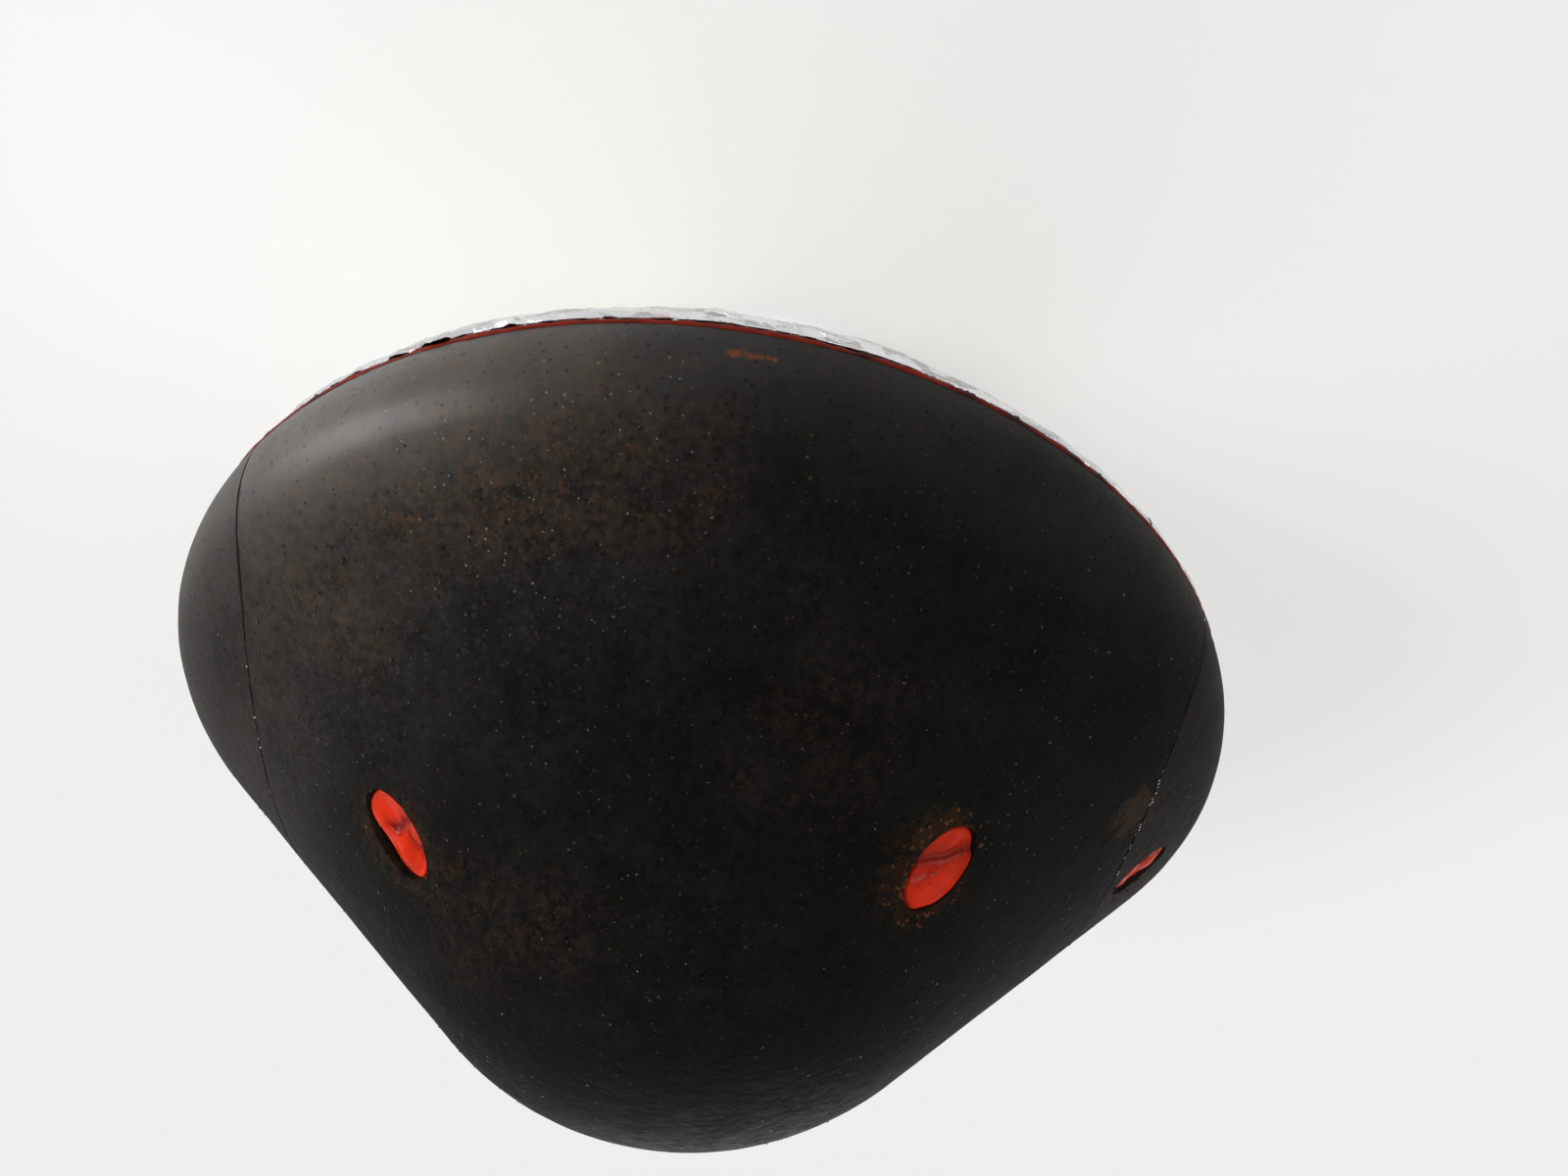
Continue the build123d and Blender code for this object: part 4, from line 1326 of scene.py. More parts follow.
FLUSH_PROFILE = ((0, -0.5), (4.1, -0.5), (4.1, 0.12), (3.85, 0.30), (2.9, 0.36))
SUNK_PROFILE = ((0, -11.5), (2.4, -11.5), (2.4, -2.7), (4.75, -0.35), (4.55, -0.15))
COLLAR_PROFILE = (
    ((0, -0.2), (4.0, -0.2), (4.0, 0.8), (3.1, 1.3), (2.9, 3.6))
    + ((2.3, 4.0), (1.4, 4.0), (1.2, 4.6), (0, 4.6))
)
INSERT_PROFILE = (
    ((0, -3.0), (4.2, -3.0), (4.2, -0.05), (3.9, 0.12))
    + ((2.75, 0.12), (2.45, -0.15), (2.45, -2.4), (0, -2.4))
)
PIN_PROFILE = ((0, -0.5), (0.62, -0.5), (0.62, 1.5), (0.45, 1.75), (0, 1.85))

FLUSH_HEAD = lathe_part("flush head", FLUSH_PROFILE, 24, (1.9, 0.36, 1.2))
SUNK_HEAD = lathe_part("sunk head", SUNK_PROFILE, 24, (2.2, -0.15, 1.9))
COLLAR = lathe_part("collar", COLLAR_PROFILE, 16)
INSERT_RING = lathe_part("insert ring", INSERT_PROFILE, 24)
CONTACT_PIN = lathe_part("contact pin", PIN_PROFILE, 10)


# Crumbs round the plugs, grit over the shield, and pale grains over it as painted glints


def surface_patch(azimuth, radius, reach, thickness):
    """Ring of surface round a plug with a "thick" attribute that says where grains lie."""
    place = on_shield(azimuth, radius)
    bend = radius / math.cos(CONE_SLOPE)
    rings, thick = [], []
    for i in range(13):
        ring = []
        for a in angles(48):
            x, y = (length * MM for length in oval_place(a, 1.0 + reach * i / 12))
            ring.append(place @ Vector((x, y, -x * x / (2 * bend) + 0.0001)))
            thick.append(thickness(a, i / 12, Vector((x, y, azimuth))))
        rings.append(ring)
    return marked(plain_mesh("patch", *skinned(rings)), "thick", thick)


def halo(towards, spread_angle, low):
    """How thick the crumbs lie round a plug: most towards one side, thinning outwards."""

    def thickness(angle, share, place):
        """How thick they lie in one direction, at a share of their reach."""
        side = low + (1 - low) * bell(turn_apart(math.degrees(angle), towards), spread_angle)
        clump = max(0.0, noise.noise(place * 60) + 0.35)
        return side * clump * (1 - share) ** 1.4

    return thickness


def scatter(name, surface, per_area, sizes, seed, finish):
    """Grains from one size to another over a surface that has a "thick" attribute."""
    values = {"Per square metre": per_area, "Smallest": sizes[0], "Largest": sizes[1]}
    new_piece(name, grown_mesh(surface, GRAINS, {**values, "Seed": seed, "Finish": finish}))


def gritty_surface(seed):
    """Outside of the whole shield, thicker in some places."""
    verts, faces = turned_piece([(0.02 + 0.01 * i, shield_z(0.02 + 0.01 * i)) for i in range(43)], 90)
    thick = [0.25 + max(0.0, 2.2 * noise.noise(v * 11 + Vector((seed, 0, 0)))) for v in verts]
    return marked(plain_mesh("shield surface", verts, faces), "thick", thick)


# The plug's number, how far its crumbs reach in mm, how many lie on a square metre, the side where most
# lie and how wide it is in degrees, and how thick they lie on the other sides
for number, reach, per_area, towards, spread_angle, low in (
    (6, 20, 200000.0, 40, 80, 0.45),
    (1, 10, 20000.0, 80, 50, 0.2),
    (5, 15, 90000.0, 150, 60, 0.2),
    (2, 15, 80000.0, 10, 60, 0.2),
    (3, 18, 150000.0, -70, 70, 0.25),
    (4, 16, 100000.0, 100, 60, 0.2),
):
    patch = surface_patch(*PLUG_SITES[number - 1], reach, halo(towards, spread_angle, low))
    scatter(f"plug_crumbs_{number}", patch, per_area, (0.0003, 0.0021), number, CRUMBS)
scatter("shield_bumps", gritty_surface(8), 3200.0, (0.0004, 0.0013), 8, GRIT)
# Pale grains over the shield: painted glints.
scatter("shield_grit", gritty_surface(21), 55.0, (0.0002, 0.0006), 21, GLINT)


# Seam between the shield and the backshell

SEAM_CLUMPS = (-5.8, -14.9, -19.2, -26.0, -29.1, 41, 58, 77, 96, 118)
SEAM_CLUMPS += (124, 151, 163, 188, 204, 231, 236, 259, 283, 309)
# The bead's section: outwards from the seam's edge and upwards from its foot
SEAM_SECTION = (
    (-0.0100, 0.0004),
    (-0.0030, 0.0002),
    (-0.0008, -0.0002),
    (0.0006, 0.0009),
    (0.0011, 0.0024),
    (0.0009, 0.0040),
    (0.0002, 0.0050),
    (-0.0016, 0.0049),
    (-0.0100, 0.0047),
)


def make_seam():
    """Uneven silicone bead squeezed out of the seam and smeared over its edges."""
    rings, darkness = [], []
    for across, up in SEAM_SECTION:
        ring = []
        for a in angles(1080):
            spot = around(a, 1, 0)
            slow = noise.noise(spot * 9)
            quick = noise.noise(spot * 60 + Vector((0, 0, up * 200)))
            fine = noise.noise(spot * 190 + Vector((0, 0, up * 400)))
            r, z = SEAM_R + across, SEAL_Z + up
            if across > -0.003:
                r += 0.0006 * slow + 0.0007 * quick + 0.0003 * fine
                if up > 0.004:
                    z += 0.0012 * max(-0.4, slow + quick)
                if up < 0.001:
                    z -= 0.0008 * max(0.0, quick + 0.2)
                limit = SHOULDER_R + math.sqrt((SHOULDER_RADIUS + 0.0014) ** 2 - (SHOULDER_Z - z) ** 2)
                r = min(max(r, limit - 0.0012), limit + 0.0006)
            ring.append(around(a, r, z))
            near = max(bell(turn_apart(math.degrees(a), clump), 1.2) for clump in SEAM_CLUMPS)
            dirt = max(0.0, noise.noise(spot * 24 + Vector((5, 2, 1))))
            darkness.append(min(1.0, 0.9 * near + 0.55 * dirt))
        rings.append(ring)
    mesh = marked(built_mesh("seam", *skinned(rings, closed=True), 70, merge=False), "crease", darkness)
    new_piece("seam_bead", mesh, SEAM_SILICONE, stands_for="seam_seal")


def seam_frame(azimuth, z):
    """Frame on the round shoulder at a height."""
    rise = shoulder_rise(z)
    return frame_at(azimuth, SHOULDER_R + SHOULDER_RADIUS * math.cos(rise), z, rise)


def lumps_piece(name, parts, finish):
    """Piece of separate lumps."""
    new_piece(name, built_mesh(name, *joined(parts), 180, turn_out=False), finish)


def make_clumps():
    """Dark clumps of char and sealant along the seam, and pale beads as painted glints."""
    rng = random.Random(17)
    parts = []
    for index, azimuth in enumerate(SEAM_CLUMPS):
        place = seam_frame(azimuth, SEAL_Z + 0.0010)
        for extra in range(3):
            size = (rng.uniform(0.0020, 0.0042), rng.uniform(0.0014, 0.0026), rng.uniform(0.0012, 0.0021))
            offset = Vector((rng.uniform(-0.004, 0.004), rng.uniform(-0.0015, 0.001), 0.0002))
            centre = place.translation + place.to_3x3() @ offset
            parts.append(lump(centre, place, size, index * 3 + extra))
    lumps_piece("seam_clumps", parts, CHAR)
    # Pale beads on the lit part of the seam: painted glints.
    parts = []
    for azimuth, size in (
        (23.7, 0.0016),
        (25.4, 0.0012),
        (30.5, 0.0019),
        (33.0, 0.0015),
        (35.2, 0.0020),
        (8.8, 0.0014),
        (20.6, 0.0011),
    ):
        place = seam_frame(azimuth, SEAL_Z + rng.uniform(-0.002, 0.002))
        centre = place.translation + place.col[2].to_3d() * 0.0008
        parts.append(lump(centre, place, (size * 1.3, size, size * 0.8), azimuth))
    lumps_piece("seam_pale_beads", parts, GLINT)


make_seam()
make_clumps()


# Crinkled film on the edge of the backshell

FILM_JOINTS = (4.7, 47, 93, 139, 184, 229, 276, 321)
FILM_OVERLAP = 1.6
FILM_COLUMN = 0.36
FILM_THICKNESS = 0.0004
# Dabs of red silicone: azimuth, height, reach
RED_DABS = (
    (-5.0, 0.4025, 0.006),
    (9.9, 0.4000, 0.004),
    (118, 0.392, 0.006),
    (204, 0.396, 0.005),
    (262, 0.389, 0.006),
)


def film_height(point):
    """Crumple of the film, from about 0 to 1."""
    big = noise.voronoi(point * 62, distance_metric="DISTANCE", exponent=2.5)[0]
    small = noise.voronoi(point * 150 + Vector((3, 1, 4)), distance_metric="DISTANCE", exponent=2.5)[0]
    return 0.55 * big[0] + 0.28 * (big[1] - big[0]) + 0.30 * small[0]


def film_puff(azimuth, share, spot):
    """How far the loose film stands off the backshell, in metres."""
    if share >= 0.79:
        return 0.0
    loose = 0.0026 + 0.0030 * bell(turn_apart(azimuth, 4), 26) + 0.0016 * noise.noise(spot * 6)
    loose += 0.0012 * noise.noise(spot * 23)
    return max(0.0008, loose) * math.sin(math.pi * min(1.0, share * 1.25 + 0.02) ** 0.62) ** 0.8


def film_path(share):
    """Radius, height and the outward lean on the film's middle line, from its upper edge to its lower."""
    arc_start = -math.asin((SHOULDER_Z - SEAL_Z) / SHOULDER_RADIUS)
    arc_length = SHOULDER_RADIUS * (SHELL_SLOPE + arc_start)
    along = share * (arc_length + BAND_LENGTH / math.cos(SHELL_SLOPE))
    if along < arc_length:
        a = arc_start - along / SHOULDER_RADIUS
        return SHOULDER_R + SHOULDER_RADIUS * math.cos(a), SHOULDER_Z + SHOULDER_RADIUS * math.sin(a), a
    z = SHELL_START_Z - (along - arc_length) * math.cos(SHELL_SLOPE)
    return shell_r(z), z, -SHELL_SLOPE


def dab_at(azimuth, z, point):
    """How much red silicone is dabbed on the film at a place."""
    ragged = 1 + 0.5 * noise.noise(point * 300)
    metres_per_degree = 7.8 * MM
    most = 0.0
    for middle, height, reach in RED_DABS:
        aside = turn_apart(azimuth, middle) * metres_per_degree
        most = max(most, bell(aside, reach * ragged) * bell(z - height, reach * 0.6))
    return min(1.0, most)


def make_film():
    """Film in overlapping strips round the backshell's upper edge."""
    parts, dabs = [], []
    rows = 16
    for index, start in enumerate(FILM_JOINTS):
        end = (FILM_JOINTS + (FILM_JOINTS[0] + 360,))[index + 1] + FILM_OVERLAP
        columns = int((end - start) / FILM_COLUMN)
        grids = []
        for sunk in (0.0, FILM_THICKNESS):
            grid = []
            for i in range(rows + 1):
                share = i / rows
                row = []
                for j in range(columns + 1):
                    azimuth = start + (end - start) * j / columns
                    spot = around(math.radians(azimuth), 1, 0)
                    wave = 0.012 * noise.noise(spot * 14 + Vector((index, 0, 0)))
                    wave *= 1 if share > 0.5 else -1
                    bite = max(0.0, noise.noise(spot * 38) + 0.6 * noise.noise(spot * 90))
                    bite *= bell(turn_apart(azimuth, 26), 16)
                    if i == 0:
                        wave = -0.10 * bite
                    r, z, lean = film_path(min(1.0, max(-0.07, share + (wave if i in (0, rows) else 0))))
                    place = frame_at(azimuth, r, z, lean)
                    edge = min(1.0, 4 * min(share, 1 - share) + 0.25)
                    crumple = film_height(place.translation + Vector((0, 0, index)))
                    proud = 0.0002 + 0.0019 * crumple * edge
                    if j > columns * 0.955:
                        proud += 0.0004
                    if min(j, columns - j) / columns < 0.01:
                        proud += 0.0003
                    proud += film_puff(azimuth, share, spot)
                    if i < 2:
                        proud += 0.0016 * min(1.0, 3 * bite)
                    point = place.translation + place.col[2].to_3d() * (proud - sunk)
                    row.append(point)
                    dabs.append(dab_at(azimuth, z, point))
                grid.append(row)
            grids.append(grid)
        parts.append(slab(*grids, thin=True))
    mesh = marked(built_mesh("film", *joined(parts), 30, turn_out=False), "red dab", dabs)
    new_piece("edge_film", mesh, FILM, stands_for="edge_band")


make_film()


# Joints between the ablator's blocks, filled with adhesive


def joint_path(side):
    """Points along a side joint from seam to seam, with the outward direction at each."""
    reach = math.sqrt((BASE_RADIUS - 0.0003) ** 2 - SIDE_JOINT**2)
    places = [(y, shield_z(math.hypot(SIDE_JOINT, y))) for y in (reach * i / 110 for i in range(-110, 111))]
    for i in (1, 2, 3, 4):
        z = SHOULDER_Z + (SEAM_Z + 0.0010 - SHOULDER_Z) * i / 4
        r = SHOULDER_R + math.sqrt(SHOULDER_RADIUS**2 - (SHOULDER_Z - z) ** 2)
        y = math.sqrt(r * r - SIDE_JOINT**2)
        places = [(-y, z), *places, (y, z)]
    path = []
    for y, z in places:
        x = side * (SIDE_JOINT + joint_wander(y, z))
        rise = CONE_SLOPE if math.hypot(x, y) < CONE_END_R else shoulder_rise(z)
        path.append((Vector((x, y, z)), leaning(Vector((x, y, 0)).normalized(), rise)))
    return path


def make_joint(side, number):
    """Adhesive in a side joint, uneven and mostly below the surface, with pale grains along it as painted
    glints.
    """
    path = joint_path(side)
    rings = []
    for i, (point, out) in enumerate(path):
        ahead = (path[min(i + 1, len(path) - 1)][0] - path[max(i - 1, 0)][0]).normalized()
        across = ahead.cross(out).normalized()
        width = 0.00115 + 0.00035 * max(-0.5, noise.noise(point * 70))
        level = -0.0002 + 0.0006 * noise.noise(point * 40) + 0.0003 * noise.noise(point * 150)
        edge, foot = level - 0.0003, -0.006
        section = ((-1, foot), (-1, edge), (-0.4, level), (0.4, level), (1, edge), (1, foot))
        rings.append([point + across * sideways * width + out * up for sideways, up in section])
    mesh = built_mesh("joint", *skinned(rings, capped=True), 60)
    new_piece(f"joint_adhesive_{number}", mesh, JOINT_ADHESIVE)
    # Pale grains along the joint: painted glints.
    parts = []
    rng = random.Random(5 + number)
    for i, (point, out) in enumerate(path):
        azimuth = math.degrees(math.atan2(point.x, -point.y))
        glint_chance = humps(azimuth, ((side * 66, 9, 1.0), (side * 112, 8, 0.5)))
        if rng.random() > glint_chance * (0.5 if side < 0 else 0.2):
            continue
        size = rng.uniform(0.00022, 0.00055)
        offset = Vector((rng.uniform(-0.0015, 0.0015), 0, 0))
        place = frame_at(azimuth, 0, 0, CONE_SLOPE)
        shape = (size * 1.2, size * 2.2, size * 0.6)
        parts.append(lump(point + offset - out * 0.0001, place, shape, i, 2))
    lumps_piece(f"joint_grains_{number}", parts, GLINT)


make_joint(-1, 1)
make_joint(1, 2)


# Backshell fasteners, seals and fittings


def fasteners(name, head, size, seed, points, edges=(), finish=STEEL, body="capsule", lean=-SHELL_SLOPE):
    """Heads square on the backshell at points, or in rows along edges."""
    values = {"Head": head, "Spacing": SCREW_PITCH, "Lean": lean, "Size": size}
    tree = FASTENER_ROWS if edges else FASTENERS_AT
    places = plain_mesh("places", points, edges=edges)
    made = grown_mesh(places, tree, {**values, "Seed": seed, "Finish": finish})
    new_piece(name, made, body=body)


def flanking_rows(azimuths, aside, ends, inset=0.0):
    """A row on either side of each azimuth, as its two ends and an edge."""
    points, edges = [], []
    for azimuth in azimuths:
        for side in (-1, 1):
            edges.append((len(points), len(points) + 1))
            for z in ends:
                turn = math.degrees(aside / shell_r(z, inset)) * side
                points.append(shell_point(azimuth + turn, z, inset))
    return points, edges


def make_shell_fasteners():
    """Flush screws beside the joints and longerons and round both edges, and collars behind the rows."""
    rows = flanking_rows((*PANEL_JOINTS, 60, 300), 0.0105, (0.030, 0.350))
    fasteners("panel_screws", FLUSH_HEAD, 1.0, 4, *rows)
    points = []
    for z, count, offset in ((0.0205, 30, 6.0), (0.3535, 42, 360 / 84)):
        for i in range(count):
            azimuth = offset + 360 * i / count
            if min(turn_apart(azimuth, joint) for joint in PANEL_JOINTS) >= 3.0:
                points.append(shell_point(azimuth, z))
    fasteners("edge_screws", FLUSH_HEAD, 0.8, 6, points)
    rows = flanking_rows(LONGERON_AZIMUTHS, 0.0115, (0.045, 0.340), BACKSHELL_WALL + GLUE_GAP + FLANGE)
    fasteners("longeron_collars", COLLAR, 0.8, 2, *rows, lean=math.pi - SHELL_SLOPE)


def rounded_outline(half_x, half_y, corner):
    """Outline of a rectangle with round corners, as places on a plane."""
    steps, spacing = 8, 0.004
    outline = []
    for sx, sy, start in ((1, 1, 0), (-1, 1, 90), (-1, -1, 180), (1, -1, 270)):
        for i in range(steps + 1):
            a = math.radians(start + 90 * i / steps)
            x, y = sx * (half_x - corner), sy * (half_y - corner)
            outline.append((x + corner * math.cos(a), y + corner * math.sin(a)))
    dense = []
    for (x1, y1), (x2, y2) in zip(outline, outline[1:] + outline[:1]):
        count = max(1, int(math.hypot(x2 - x1, y2 - y1) / spacing))
        dense += [(x1 + (x2 - x1) * i / count, y1 + (y2 - y1) * i / count) for i in range(count)]
    return dense


def circle_outline(radius, steps=96):
    """Places round a circle."""
    return [(radius * math.cos(a), radius * math.sin(a)) for a in angles(steps)]


def hatch_outline(grow):
    """The hatch's outline, moved outwards."""
    return rounded_outline(HATCH_SIZE[0] / 2 + grow, HATCH_SIZE[1] / 2 + grow, HATCH_CORNER + grow)


def bead_on_shell(outline, site, width, height, sink, uneven=0.0, seed=0.0):
    """Closed bead that follows an outline on the backshell: vertices and faces."""
    place, radius = on_shell(site)
    rings = []
    for i, (x, y) in enumerate(outline):
        before, after = outline[i - 1], outline[(i + 1) % len(outline)]
        ahead = Vector((after[0] - before[0], after[1] - before[1])).normalized()
        swell = 1 + uneven * noise.noise(Vector((x * 260, y * 260, seed)))
        ring = []
        for a in angles(8):
            px = x + ahead.y * math.cos(a) * width / 2 * swell
            py = y - ahead.x * math.cos(a) * width / 2 * swell
            pz = -shell_sag(radius, px, py) - sink + math.sin(a) * height / 2 * swell
            ring.append(place @ Vector((px, py, pz)))
        rings.append(ring)
    return skinned(rings, closed=True)


def make_seals():
    """Beads of silicone round the windows, vents and umbilical plate, and the hatch's seal and gasket."""
    parts = []
    for index, site in enumerate(WINDOW_SITES):
        outline = circle_outline(WINDOW_RADIUS + 0.0002)
        parts.append(bead_on_shell(outline, site, 0.0019, 0.0011, 0.0001, 0.45, index))
    for index, site in enumerate(VENT_SITES, 5):
        parts.append(bead_on_shell(circle_outline(0.0182, 60), site, 0.0014, 0.0009, 0.0001, 0.4, index))
    outline = rounded_outline(0.0552, 0.0372, 0.008)
    parts.append(bead_on_shell(outline, UMBILICAL_SITE, 0.0016, 0.0010, 0.0002, 0.4, 9))
    new_piece("fitting_sealant", built_mesh("sealant", *joined(parts), 60), SEAM_SILICONE)
    for name, grow, width, height, sink in (
        ("hatch_seal", 0.0034, 0.0030, 0.0050, 0.0036),
        ("hatch_gasket", -0.0036, 0.0036, 0.0005, BACKSHELL_WALL + GLUE_GAP),
    ):
        made = bead_on_shell(hatch_outline(grow), HATCH_SITE, width, height, sink)
        new_piece(name, built_mesh(name, *made, 60), GASKET)


def make_hatch_fasteners():
    """Countersunk captive screws in the hatch, and the threaded inserts in the frame behind it."""
    place, radius = on_shell(HATCH_SITE)
    half_x, half_y = HATCH_SIZE[0] / 2 - 0.011, HATCH_SIZE[1] / 2 - 0.011
    sites = [(-half_x + i * 2 * half_x / 3, y) for i in range(4) for y in (-half_y, half_y)]
    sites += [(-half_x, 0.0), (half_x, 0.0)]
    screws, inserts = [], []
    for x, y in sites:
        drop = SHELL_START_R - math.sqrt(SHELL_START_R**2 - x**2)
        screws.append(place @ Vector((x, y, -drop * math.cos(SHELL_SLOPE))))
        inserts.append(place @ Vector((x, y, -shell_sag(radius, x, y) - BACKSHELL_WALL - GLUE_GAP)))
    fasteners("hatch_screws", SUNK_HEAD, 1.0, 9, screws, body="hatch")
    fasteners("hatch_inserts", INSERT_RING, 1.0, 8, inserts)


def make_vents():
    """Wire screens in the vents' bores, and the vents' screws."""
    centres, screws = [], []
    for site in VENT_SITES:
        place, radius = on_shell(site)
        centres.append(place @ Vector((0, 0, -0.0025)))
        for i in range(4):
            a = math.radians(45 + 90 * i)
            x, y = 0.0125 * math.cos(a), 0.0125 * math.sin(a)
            screws.append(place @ Vector((x, y, -shell_sag(radius, x, y))))
    values = {"Radius": 0.0061, "Wires": 15, "Wire radius": 0.00016, "Lean": -SHELL_SLOPE, "Finish": STEEL}
    new_piece("vent_screens", grown_mesh(plain_mesh("points", centres), SCREENS, values))
    fasteners("vent_screws", FLUSH_HEAD, 0.5, 3, screws)


# Umbilical plate with its two connectors

# Sections of a connector's shell and insert, and the plate's levels: outwards and upwards in mm
CONNECTOR_SHELL = (
    ((0, -5.1), (16, -5.1), (16, -3.9), (15.4, -3.6), (13.2, -3.6), (13.2, -3.1))
    + ((12.7, -2.8), (13.2, -2.5), (12.7, -2.2), (13.2, -1.9), (12.7, -1.6), (13.2, -1.3))
    + ((12.9, -1.0), (11.7, -1.0), (11.6, -1.4), (11.6, -4.6), (0, -4.6))
)
CONNECTOR_INSERT = ((0, -4.7), (11.5, -4.7), (11.5, -3.3), (11.1, -3.0), (0, -3.0))
PLATE_LEVELS = ((0, -10), (0, -5.5), (0.5, -5))


def plate_part(place, half_x, half_y, corner):
    """Plate with round corners on a frame, with its sizes in mm and its outline inset at each level."""
    rings = []
    for inset, z in PLATE_LEVELS:
        outline = rounded_outline((half_x - inset) * MM, (half_y - inset) * MM, (corner - inset) * MM)
        rings.append([place @ Vector((x, y, z * MM)) for x, y in outline])
    count = min(len(ring) for ring in rings)
    return skinned([ring[:count] for ring in rings], capped=True)


def make_umbilical():
    """Recessed plate with two connectors: shells, inserts, contacts and screws."""
    place, _ = on_shell(UMBILICAL_SITE)
    shells, inserts, pins = [plate_part(place, 55, 37, 8)], [], []
    for side in (-27, 27):
        for profile, parts in ((CONNECTOR_SHELL, shells), (CONNECTOR_INSERT, inserts)):
            rings = lathe_rings(profile, 48, (side, 0))
            parts.append(skinned([[place @ point for point in ring] for ring in rings]))
        for count, circle in ((1, 0), (6, 3.6), (12, 7.4)):
            for a in angles(count):
                a += 0.26 if count == 12 else 0
                pin = Vector((side + circle * math.cos(a), circle * math.sin(a), -3.0))
                pins.append(place @ (pin * MM))
    fitting = built_mesh("umbilical", *joined(shells), 35)
    new_piece("umbilical_fitting", fitting, PLATED, stands_for="umbilical_plate")
    new_piece("umbilical_inserts", built_mesh("inserts", *joined(inserts), 35), INSERT)
    fasteners("umbilical_contacts", CONTACT_PIN, 1.0, 1, pins, finish=CONTACT)
    corners = ((-48, -30), (48, -30), (-48, 30), (48, 30), (0, 30), (0, -30))
    screws = [place @ (Vector((x, y, -5.0)) * MM) for x, y in corners]
    fasteners("umbilical_screws", FLUSH_HEAD, 0.75, 12, screws)


make_shell_fasteners()
make_seals()
make_hatch_fasteners()
make_vents()
make_umbilical()


# Parachute pack


def make_pack():
    """Folded parachute in its bag: a crowned drum, pressed out by simulation and gathered in folds down its
    sides.
    """
    low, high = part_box("parachute_pack")
    radius = high.x - 0.004
    bottom, top = low.z + 0.003, high.z - 0.003
    profile = [(0.0, top)]
    for i in range(1, 8):
        profile.append((radius * i / 8, top - 0.001 * (i / 8) ** 2))
    for i in range(0, 7):
        a = math.pi / 2 * (1 - i / 6)
        profile.append((radius - 0.012 + 0.012 * math.cos(a), top - 0.013 + 0.012 * math.sin(a)))
    for i in range(1, 18):
        profile.append((radius, top - 0.013 + (bottom + 0.026 - top) * i / 18))
    for i in range(0, 7):
        a = -math.pi / 2 * i / 6
        profile.append((radius - 0.012 + 0.012 * math.cos(a), bottom + 0.013 + 0.012 * math.sin(a)))
    for i in range(7, 0, -1):
        profile.append((radius * i / 8, bottom + 0.001 * (i / 8) ** 2))
    profile.append((0.0, bottom))

    def crumple(point, index, azimuth):
        """Point on the bag gathered in folds round its sides, with soft dents."""
        out = Vector((point.x, point.y, 0)).normalized()
        side = 1.0 if 12 < index < 32 else 0.3
        gather = 0.0022 * math.cos(math.radians(azimuth) * 8) * side
        soft = 0.0020 * noise.noise(point * 24) + 0.0008 * noise.noise(point * 70)
        return point + out * (soft + gather - 0.003)

    mesh = built_mesh("pack", *turned_piece(profile, 128, crumple))
    mesh = swollen(mesh, 0.005)
    mesh.shade_smooth()
    pack = new_piece("parachute_bag", mesh, CLOTH, stands_for="parachute_pack")


def swollen(mesh, cap):
    """Mesh pressed out by a cloth simulation, no point further than the cap."""
    work = bare_object("swelling", mesh.copy())
    remesh = work.modifiers.new("remesh", "REMESH")
    remesh.mode = "VOXEL"
    remesh.voxel_size = 0.005
    base = evaluated_mesh(work)
    bpy.data.objects.remove(work)
    work = bare_object("swelling", base)
    cloth = work.modifiers.new("cloth", "CLOTH")
    cloth.settings.use_pressure = True
    cloth.settings.uniform_pressure_force = 4
    cloth.settings.effector_weights.gravity = 0
    scene = bpy.context.scene
    for step in range(1, 21):
        scene.frame_set(step)
    made = evaluated_mesh(work)
    scene.frame_set(1)
    for start, vertex in zip(base.vertices, made.vertices):
        move = vertex.co - start.co
        if move.length > cap:
            vertex.co = start.co + move.normalized() * cap
    bpy.data.objects.remove(work)
    work = bare_object("swollen", made)
    work.modifiers.new("smooth", "SUBSURF").levels = 1
    made = evaluated_mesh(work)
    bpy.data.objects.remove(work)
    return made


make_pack()

for helper in (FLUSH_HEAD, SUNK_HEAD, COLLAR, INSERT_RING, CONTACT_PIN):
    bpy.data.objects.remove(helper)


# Floor, light and background

BACKGROUND = 0.86
AMBIENT = 0.34
FLOOR_REACH = 14
FADE_CENTRE = (-0.16, 0.07, 0.0)


def rays_that_see(n):
    """One for rays that show the background, whether straight, mirrored or through glass."""
    path = n.put("ShaderNodeLightPath")
    direct = n.calc("MAXIMUM", path["Is Camera Ray"], path["Is Glossy Ray"])
    return n.calc("MAXIMUM", direct, path["Is Transmission Ray"])


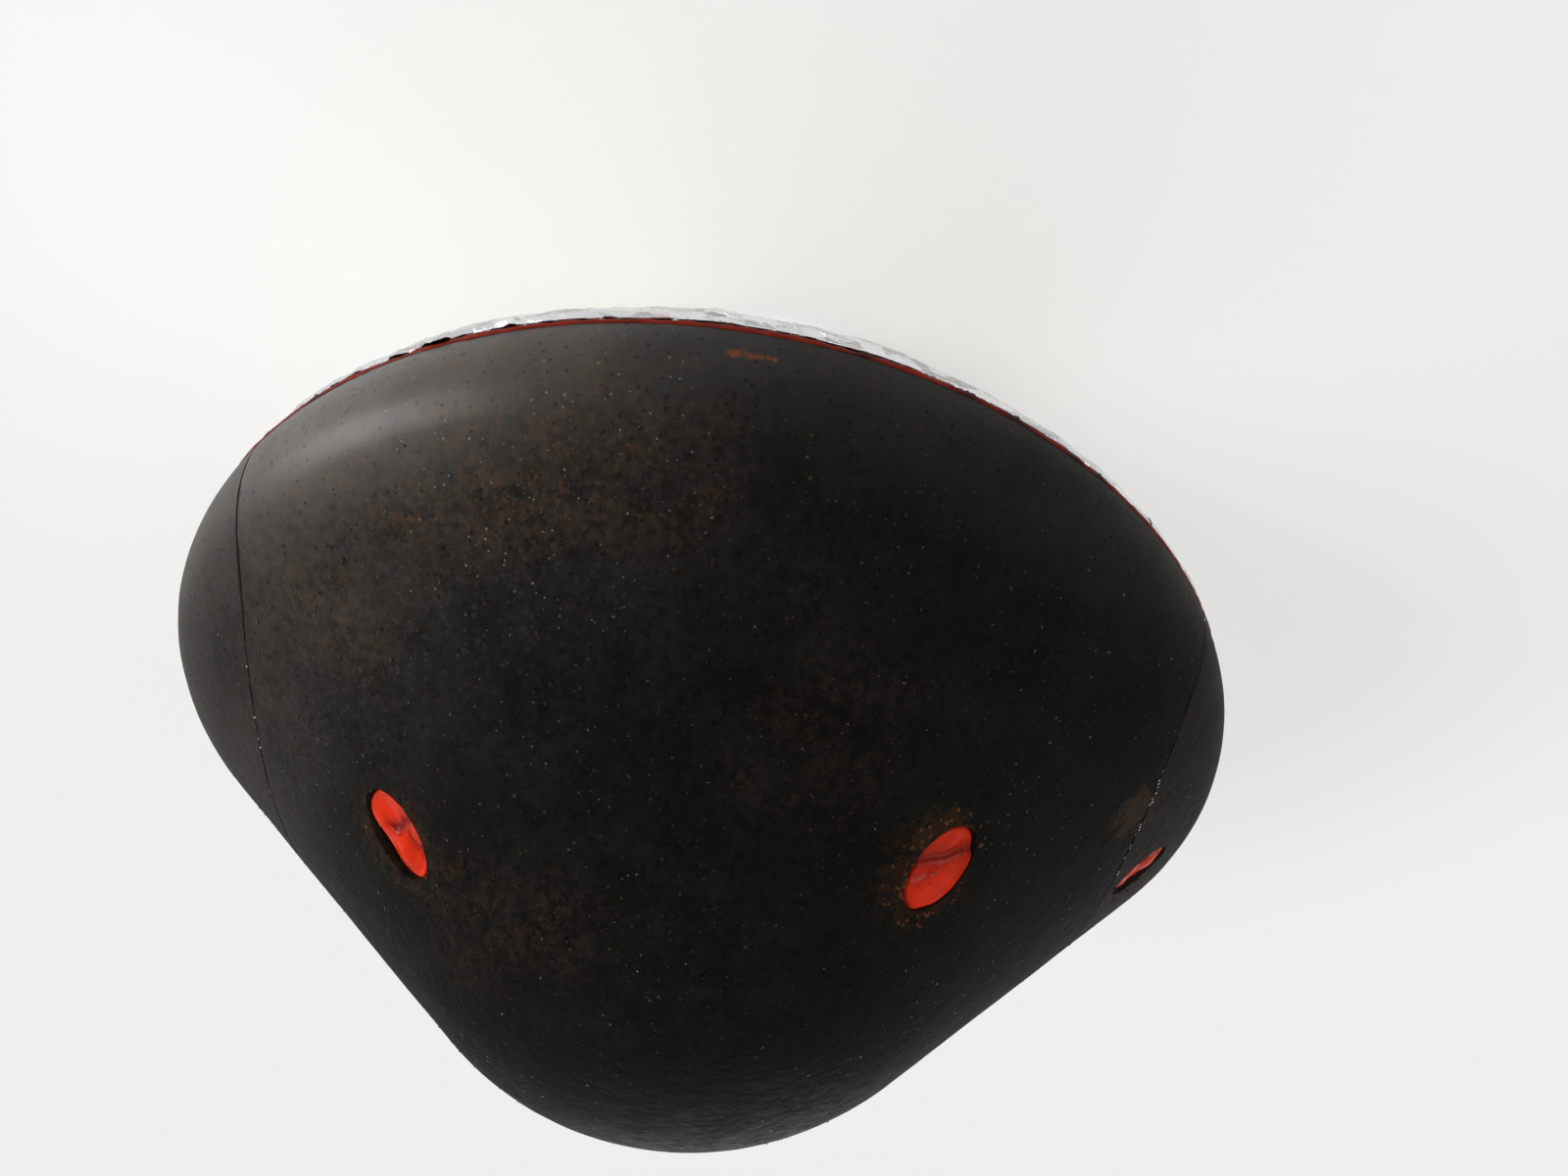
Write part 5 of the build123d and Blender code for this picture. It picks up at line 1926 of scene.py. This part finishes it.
def make_floor():
    """Plain pale floor that keeps the capsule's shadow and turns into the pale background further out."""
    n = new_finish("floor", Roughness=0.9, Specular_IOR_Level=0.0)
    far = n.spread(n.vector("DISTANCE", n.place(), FADE_CENTRE), 0.56, 1.36)
    seen = rays_that_see(n)
    glow = n.mix(far, (0.26, 0.26, 0.26), (BACKGROUND, BACKGROUND, BACKGROUND))
    n.join(n.lay((0.78, 0.78, 0.77), (0, 0, 0), far, seen), n.shader.inputs["Base Color"])
    n.join(glow, n.shader.inputs["Emission Color"])
    n.join(seen, n.shader.inputs["Emission Strength"])
    corners = [(x * FLOOR_REACH, y * FLOOR_REACH, 0) for x, y in ((-1, -1), (1, -1), (1, 1), (-1, 1))]
    mesh = plain_mesh("floor", corners, [(0, 1, 2, 3)])
    mesh.materials.append(n.material)
    bare_object("floor", mesh)


def make_world():
    """Pale surroundings: white where they are seen or mirrored, softer as light."""
    world = bpy.data.worlds.new("surroundings")
    world.use_nodes = True
    bpy.context.scene.world = world
    n = Nodes(world.node_tree)
    ground = world.node_tree.nodes["Background"].inputs
    n.join((1, 1, 1, 1), ground["Color"])
    n.join(n.spread(rays_that_see(n), 0.0, 1.0, AMBIENT, BACKGROUND, smooth=False), ground["Strength"])


def add_lamp(name, place, target, size, power, colour=(1, 1, 1)):
    """Soft square lamp aimed at a point."""
    made = bpy.data.lights.new(name, "AREA")
    made.shape = "SQUARE"
    made.size = size
    made.energy = power
    made.color = colour
    lamp = bare_object(name, made)
    lamp.location = place
    lamp.rotation_euler = (Vector(target) - Vector(place)).to_track_quat("-Z", "Y").to_euler()


make_floor()
make_world()
add_lamp("key", (2.5, -1.1, 0.85), (0, 0, 0.40), 1.1, 49, (1.0, 0.985, 0.96))
add_lamp("sun", (2.2, -1.5, 1.25), (0, 0, 0.45), 0.07, 5, (1.0, 0.98, 0.95))
add_lamp("fill", (-1.7, -1.9, 2.0), (0, 0, 0.40), 1.2, 20, (0.98, 0.99, 1.0))
add_lamp("back", (-0.5, 2.7, 1.5), (0, 0, 0.35), 1.8, 30)

bpy.context.scene.view_settings.view_transform = "Standard"
